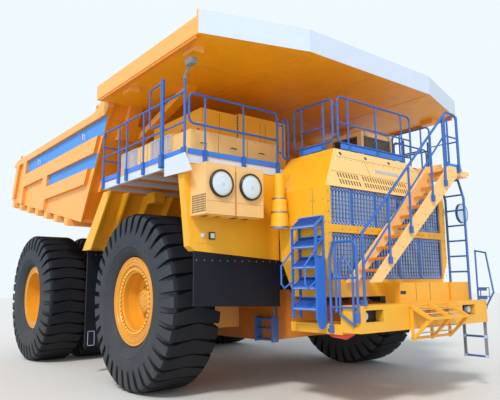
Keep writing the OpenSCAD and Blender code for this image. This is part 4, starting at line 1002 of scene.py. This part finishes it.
# Hoses along the frame on both sides, and small blue steps at its right side
def frame_trim():
    p = Piece()
    for s in BOTH:
        for r, bend, route in (
            (0.028, 0.12, [(2.2, 1.2, 2.3), (1.7, 1.25, 2.15), (1.2, 1.25, 2.05), (0.3, 1.18, 2.1),
                           (-0.5, 1.1, 2.05)]),
            (0.022, 0.1, [(0.35, 1.12, 2.15), (0.42, 1.3, 1.95), (0.3, 1.5, 1.72), (0.12, 1.62, 1.672)]),
            (0.026, 0.2, [(-0.9, 1.075, 1.9), (-1.6, 1.075, 1.85), (-2.6, 1.08, 2.0), (-4.2, 1.08, 2.1)]),
            (0.02, 0.08, [(-3.5, 1.12, 1.75), (-3.7, 1.16, 1.62), (-3.75, 1.2, 1.5)]),
        ):
            p.tube([(x, s * y, z) for x, y, z in route], r, bend, 10)
    p.make("frame_hoses", "hose")
    wall = -1.0403
    p = Piece()
    for x in (1.02, 1.55):
        p.block((x, wall - 0.16, 0.9), (x + 0.05, wall, 1.4))
    for z in (0.93, 1.14, 1.34):
        p.block((1.0703, wall - 0.15, z), (1.5497, wall - 0.02, z + 0.03))
    p.bar((1.575, wall - 0.08, 1.4003), (1.575, wall - 0.08, 1.8), 0.02, 10)
    p.make("frame_steps", "blue", bevel=0.003)


# Toe boards of decks, hood frames and walkway, ceilings between the decks' beams, and a box
def deck_trim():
    low, high, thick = 4.327, 4.423, 0.0024
    p = Piece()
    for s in BOTH:
        for x0, x1 in ((-1.165, -0.455), (-0.015, 0.655), (0.725, 1.4), (1.5, 2.13)):
            p.block((x0, s * 3.6646, low), (x1, s * (3.6646 + thick), high))
    for y0, y1 in ((-3.59, -3.29), (-3.21, -2.42), (-2.34, -1.57), (2.28, 2.86), (2.94, 3.59)):
        p.block((2.2046, y0, low), (2.2046 + thick, y1, high))
    hood_low, hood_high = 4.567, 4.663
    for y0, y1 in ((-0.955, -0.76), (-0.66, 0.08), (0.18, 0.93)):
        p.block((3.3653, y0, hood_low), (3.368, y1, hood_high))
    p.block((2.55, -1.158, hood_low), (3.04, -1.1553, hood_high))
    walk_low, walk_high = 4.347, 4.433
    p.block((2.55, 2.0646, walk_low), (3.03, 2.0646 + thick, walk_high))
    p.block((4.2146, 1.22, walk_low), (4.2146 + thick, 1.58, walk_high))
    p.make("toe_boards", "sky", bevel=0.001)
    p = Piece()
    for s in BOTH:
        for x0, x1 in ((-1.198, -0.402), (-0.318, 0.398), (0.482, 1.198), (1.282, 2.128)):
            p.block((x0, s * 1.245, 4.262), (x1, s * 3.588, 4.2697))
    p.make("deck_ceilings", "orange")
    p = Piece().block((-1.15, -2.62, 3.92), (-0.8, -2.35, 4.1697))
    p.make("under_deck_box", "yellow", bevel=0.01)


# Tail lamps, collars of the suspension cylinders and the rear axle, axle cover and bolts
def tail_trim():
    boxes, lenses, collars = Piece(), Piece(), Piece()
    for s in BOTH:
        y = s * 0.85
        boxes.block((-7.5703, y - 0.13, 2.42), (-7.5303, y + 0.13, 2.58))
        for dy in (-0.065, 0.065):
            lenses.lathe((-7.5703, y + dy, 2.5), BACK, [(0.052, 0), (0.05, 0.012), (0.02, 0.018)])
        for z in (1.7, 2.0, 2.38, 2.49):
            collars.collar((0, s * 1.27, z), UP, 0.15, 0.168, 0.02, 40)
        for z in (1.62, 1.95, 2.2):
            collars.collar((-6.8, y, z), UP, 0.13, 0.146, 0.018, 36)
        for tube_y in (1.02, 1.6, 2.1):
            collars.collar((REAR_X, s * tube_y, AXLE_Z), (0, 1, 0), 0.425, 0.455, 0.02, 48)
    boxes.make("tail_lamp_boxes", "black", bevel=0.006)
    lenses.make("tail_lamp_lenses", "red")
    collars.make("cylinder_collars", "orange", bevel=0.004)
    p = Piece().lathe((-6.655, 0, AXLE_Z), BACK, [(0.3, 0), (0.3, 0.03), (0.27, 0.045), (0.1, 0.06)], 40)
    p.make("axle_cover", "orange", bevel=0.003)
    p = Piece()
    p.bolt_circle((-6.685, 0, AXLE_Z), BACK, 0.285, 20, 0.011, 0.012)
    for s in BOTH:
        for i in range(8):
            for z in (1.19, 2.29):
                p.bolt((-0.2 + i * 0.057, s * 1.9003, z), (0, s, 0), 0.011, 0.01)
    p.make("axle_bolts", "steel")


# Bolts of the decks and the mud flaps, and a pale mark on each rear flap
def deck_and_flap_bolts():
    deck, flaps, marks = Piece(), Piece(), Piece()
    flap_x, low, high, edge = -2.6197, 0.66, 1.0, 0.012
    for s in BOTH:
        for i in range(12):
            flaps.bolt((PANEL_X + GAP, s * (1.58 + i * 0.165), 2.48), AHEAD, 0.012, 0.008)
        for i in range(8):
            flaps.bolt((flap_x, s * (2.42 + i * 0.13), 2.8), AHEAD, 0.012, 0.009)
        for x in (-1.1, -0.7, -0.2, 0.3, 1.0, 1.75):
            for z in (4.2, 4.24):
                deck.bolt((x, s * (DECK_Y + GAP), z), (0, s, 0), 0.008, 0.006)
        for y in (1.7, 2.0, 2.7, 3.4):
            deck.bolt((DECK_X + GAP, s * y, 4.235), AHEAD, 0.009, 0.006)
        left, right = s * 3.25 - 0.085, s * 3.25 + 0.085
        for y0, y1, z0, z1 in ((left, right, low, low + edge), (left, right, high - edge, high),
                               (left, left + edge, low, high), (right - edge, right, low, high)):
            marks.block((flap_x, y0, z0), (flap_x + 0.0022, y1, z1))
    deck.make("deck_bolts", "white")
    flaps.make("flap_bolts", "steel")
    marks.make("flap_marks", "pale")


# Hoists: hose, pin caps and rings round the barrel
def hoist_trim(side, s):
    out = (0, s, 0)
    route = [(-3.78, s * 1.1, 1.75), (-3.72, s * 1.3, 1.72), (-3.62, s * 1.38, 1.66), (-3.6, s * 1.36, 1.6)]
    Piece().tube(route, 0.022, 0.06, 10).make("hoist_hose_" + side, "hose")
    p = Piece().lathe((-3.8, s * 1.4003, 1.4), out, [(0.075, 0), (0.075, 0.012), (0.05, 0.02)], 28)
    p.make("hoist_pin_cap_" + side, "steel", bevel=0.002)
    lower_pin, upper_pin = Vector((-3.8, s * 1.29, 1.4)), Vector((-3.9, s * 1.29, 3.4))
    length = (upper_pin - lower_pin).length
    along = (upper_pin - lower_pin).normalized()
    p = Piece()
    for d in (0.2, 0.45, length - 0.262):
        p.collar(lower_pin + along * d, along, 0.2003, 0.212, 0.02, 40)
    p.make("barrel_rings_" + side, "yellow", "hoist_barrel_" + side, 0.003)
    p = Piece().lathe((-7.35, s * 1.0803, 2.75), out, [(0.085, 0), (0.085, 0.014), (0.05, 0.022)], 28)
    p.make("hinge_cap_" + side, "steel", bevel=0.002)


for side, s in (("left", 1), ("right", -1)):
    for build in (tyres, front_rim, rear_rim, bed_side, headlamp_trim, marker_lamps, hoist_trim):
        build(side, s)
for build in (canopy_trim, grille_trim, hood_trim, stair_trim, step_ladder_trim, cabinet_trim, bumper_trim,
              folding_ladder_trim, hanging_ladder_trim, mirror_trim, cab_trim, cab_inside, cleaner_trim,
              tank_trim, frame_trim, deck_trim, tail_trim, deck_and_flap_bolts):
    build()


# Camera at the photograph's place, its focal length solved in the photograph's pixels
def camera():
    image_width, focal = 500, 540.71
    place = Vector((10.0442, -8.4634, 2.072)) + AXLE
    yaw, pitch, roll = (radians(a) for a in (141.5098, 8.8022, -0.5423))
    data = bpy.data.cameras.new("camera")
    data.lens = focal / image_width * data.sensor_width
    obj = bpy.data.objects.new("camera", data)
    scene.collection.objects.link(obj)
    look = Vector((cos(pitch) * cos(yaw), cos(pitch) * sin(yaw), sin(pitch)))
    level = look.cross(Vector(UP)).normalized()
    up = level.cross(look)
    rolled = level * cos(roll) + up * sin(roll)
    rolled_up = up * cos(roll) - level * sin(roll)
    turn = Matrix((rolled, rolled_up, -look)).transposed().to_4x4()
    turn.translation = place
    obj.matrix_world = turn
    scene.camera = obj


# Plain pale floor that keeps the shadow
def floor():
    mesh = bpy.data.meshes.new("floor")
    s = 90
    mesh.from_pydata([(-s, -s, 0), (s, -s, 0), (s, s, 0), (-s, s, 0)], [], [(0, 1, 2, 3)])
    obj = bpy.data.objects.new("floor", mesh)
    obj.data.materials.append(plain("floor", rgb(222, 220, 216), 0.85))
    scene.collection.objects.link(obj)


# Soft light from all sides, and a white background for the camera and for reflections
def world():
    sky = bpy.data.worlds.new("world")
    scene.world = sky
    sky.use_nodes = True
    tree = sky.node_tree
    light = tree.nodes["Background"]
    light.inputs["Color"].default_value = rgb(226, 238, 250)
    light.inputs["Strength"].default_value = 0.74
    seen = node(tree, "Background", {"Color": rgb(240, 250, 254)})
    rays = [node(tree, "LightPath", {}, ray) for ray in ("Is Camera Ray", "Is Glossy Ray")]
    either = node(tree, "Math", dict(enumerate(rays)), operation="MAXIMUM")
    mixed = node(tree, "MixShader", {0: either, 1: light.outputs[0], 2: seen})
    tree.links.new(mixed, tree.nodes["World Output"].inputs[0])


def sun(name, energy, direction, angle, colour):
    data = bpy.data.lights.new(name, "SUN")
    data.energy = energy
    data.angle = radians(angle)
    data.color = colour
    obj = bpy.data.objects.new(name, data)
    obj.rotation_euler = Vector(direction).to_track_quat("-Z", "Y").to_euler()
    scene.collection.objects.link(obj)


camera()
floor()
world()
# Soft key light and a fill from the camera's side
sun("key", 2.2, (-0.42, 0.55, -0.72), 10, (1, 0.98, 0.94))
sun("fill", 1.15, (-0.6, 0.8, 0.05), 60, (0.95, 0.97, 1))

scene.view_settings.view_transform = "Standard"
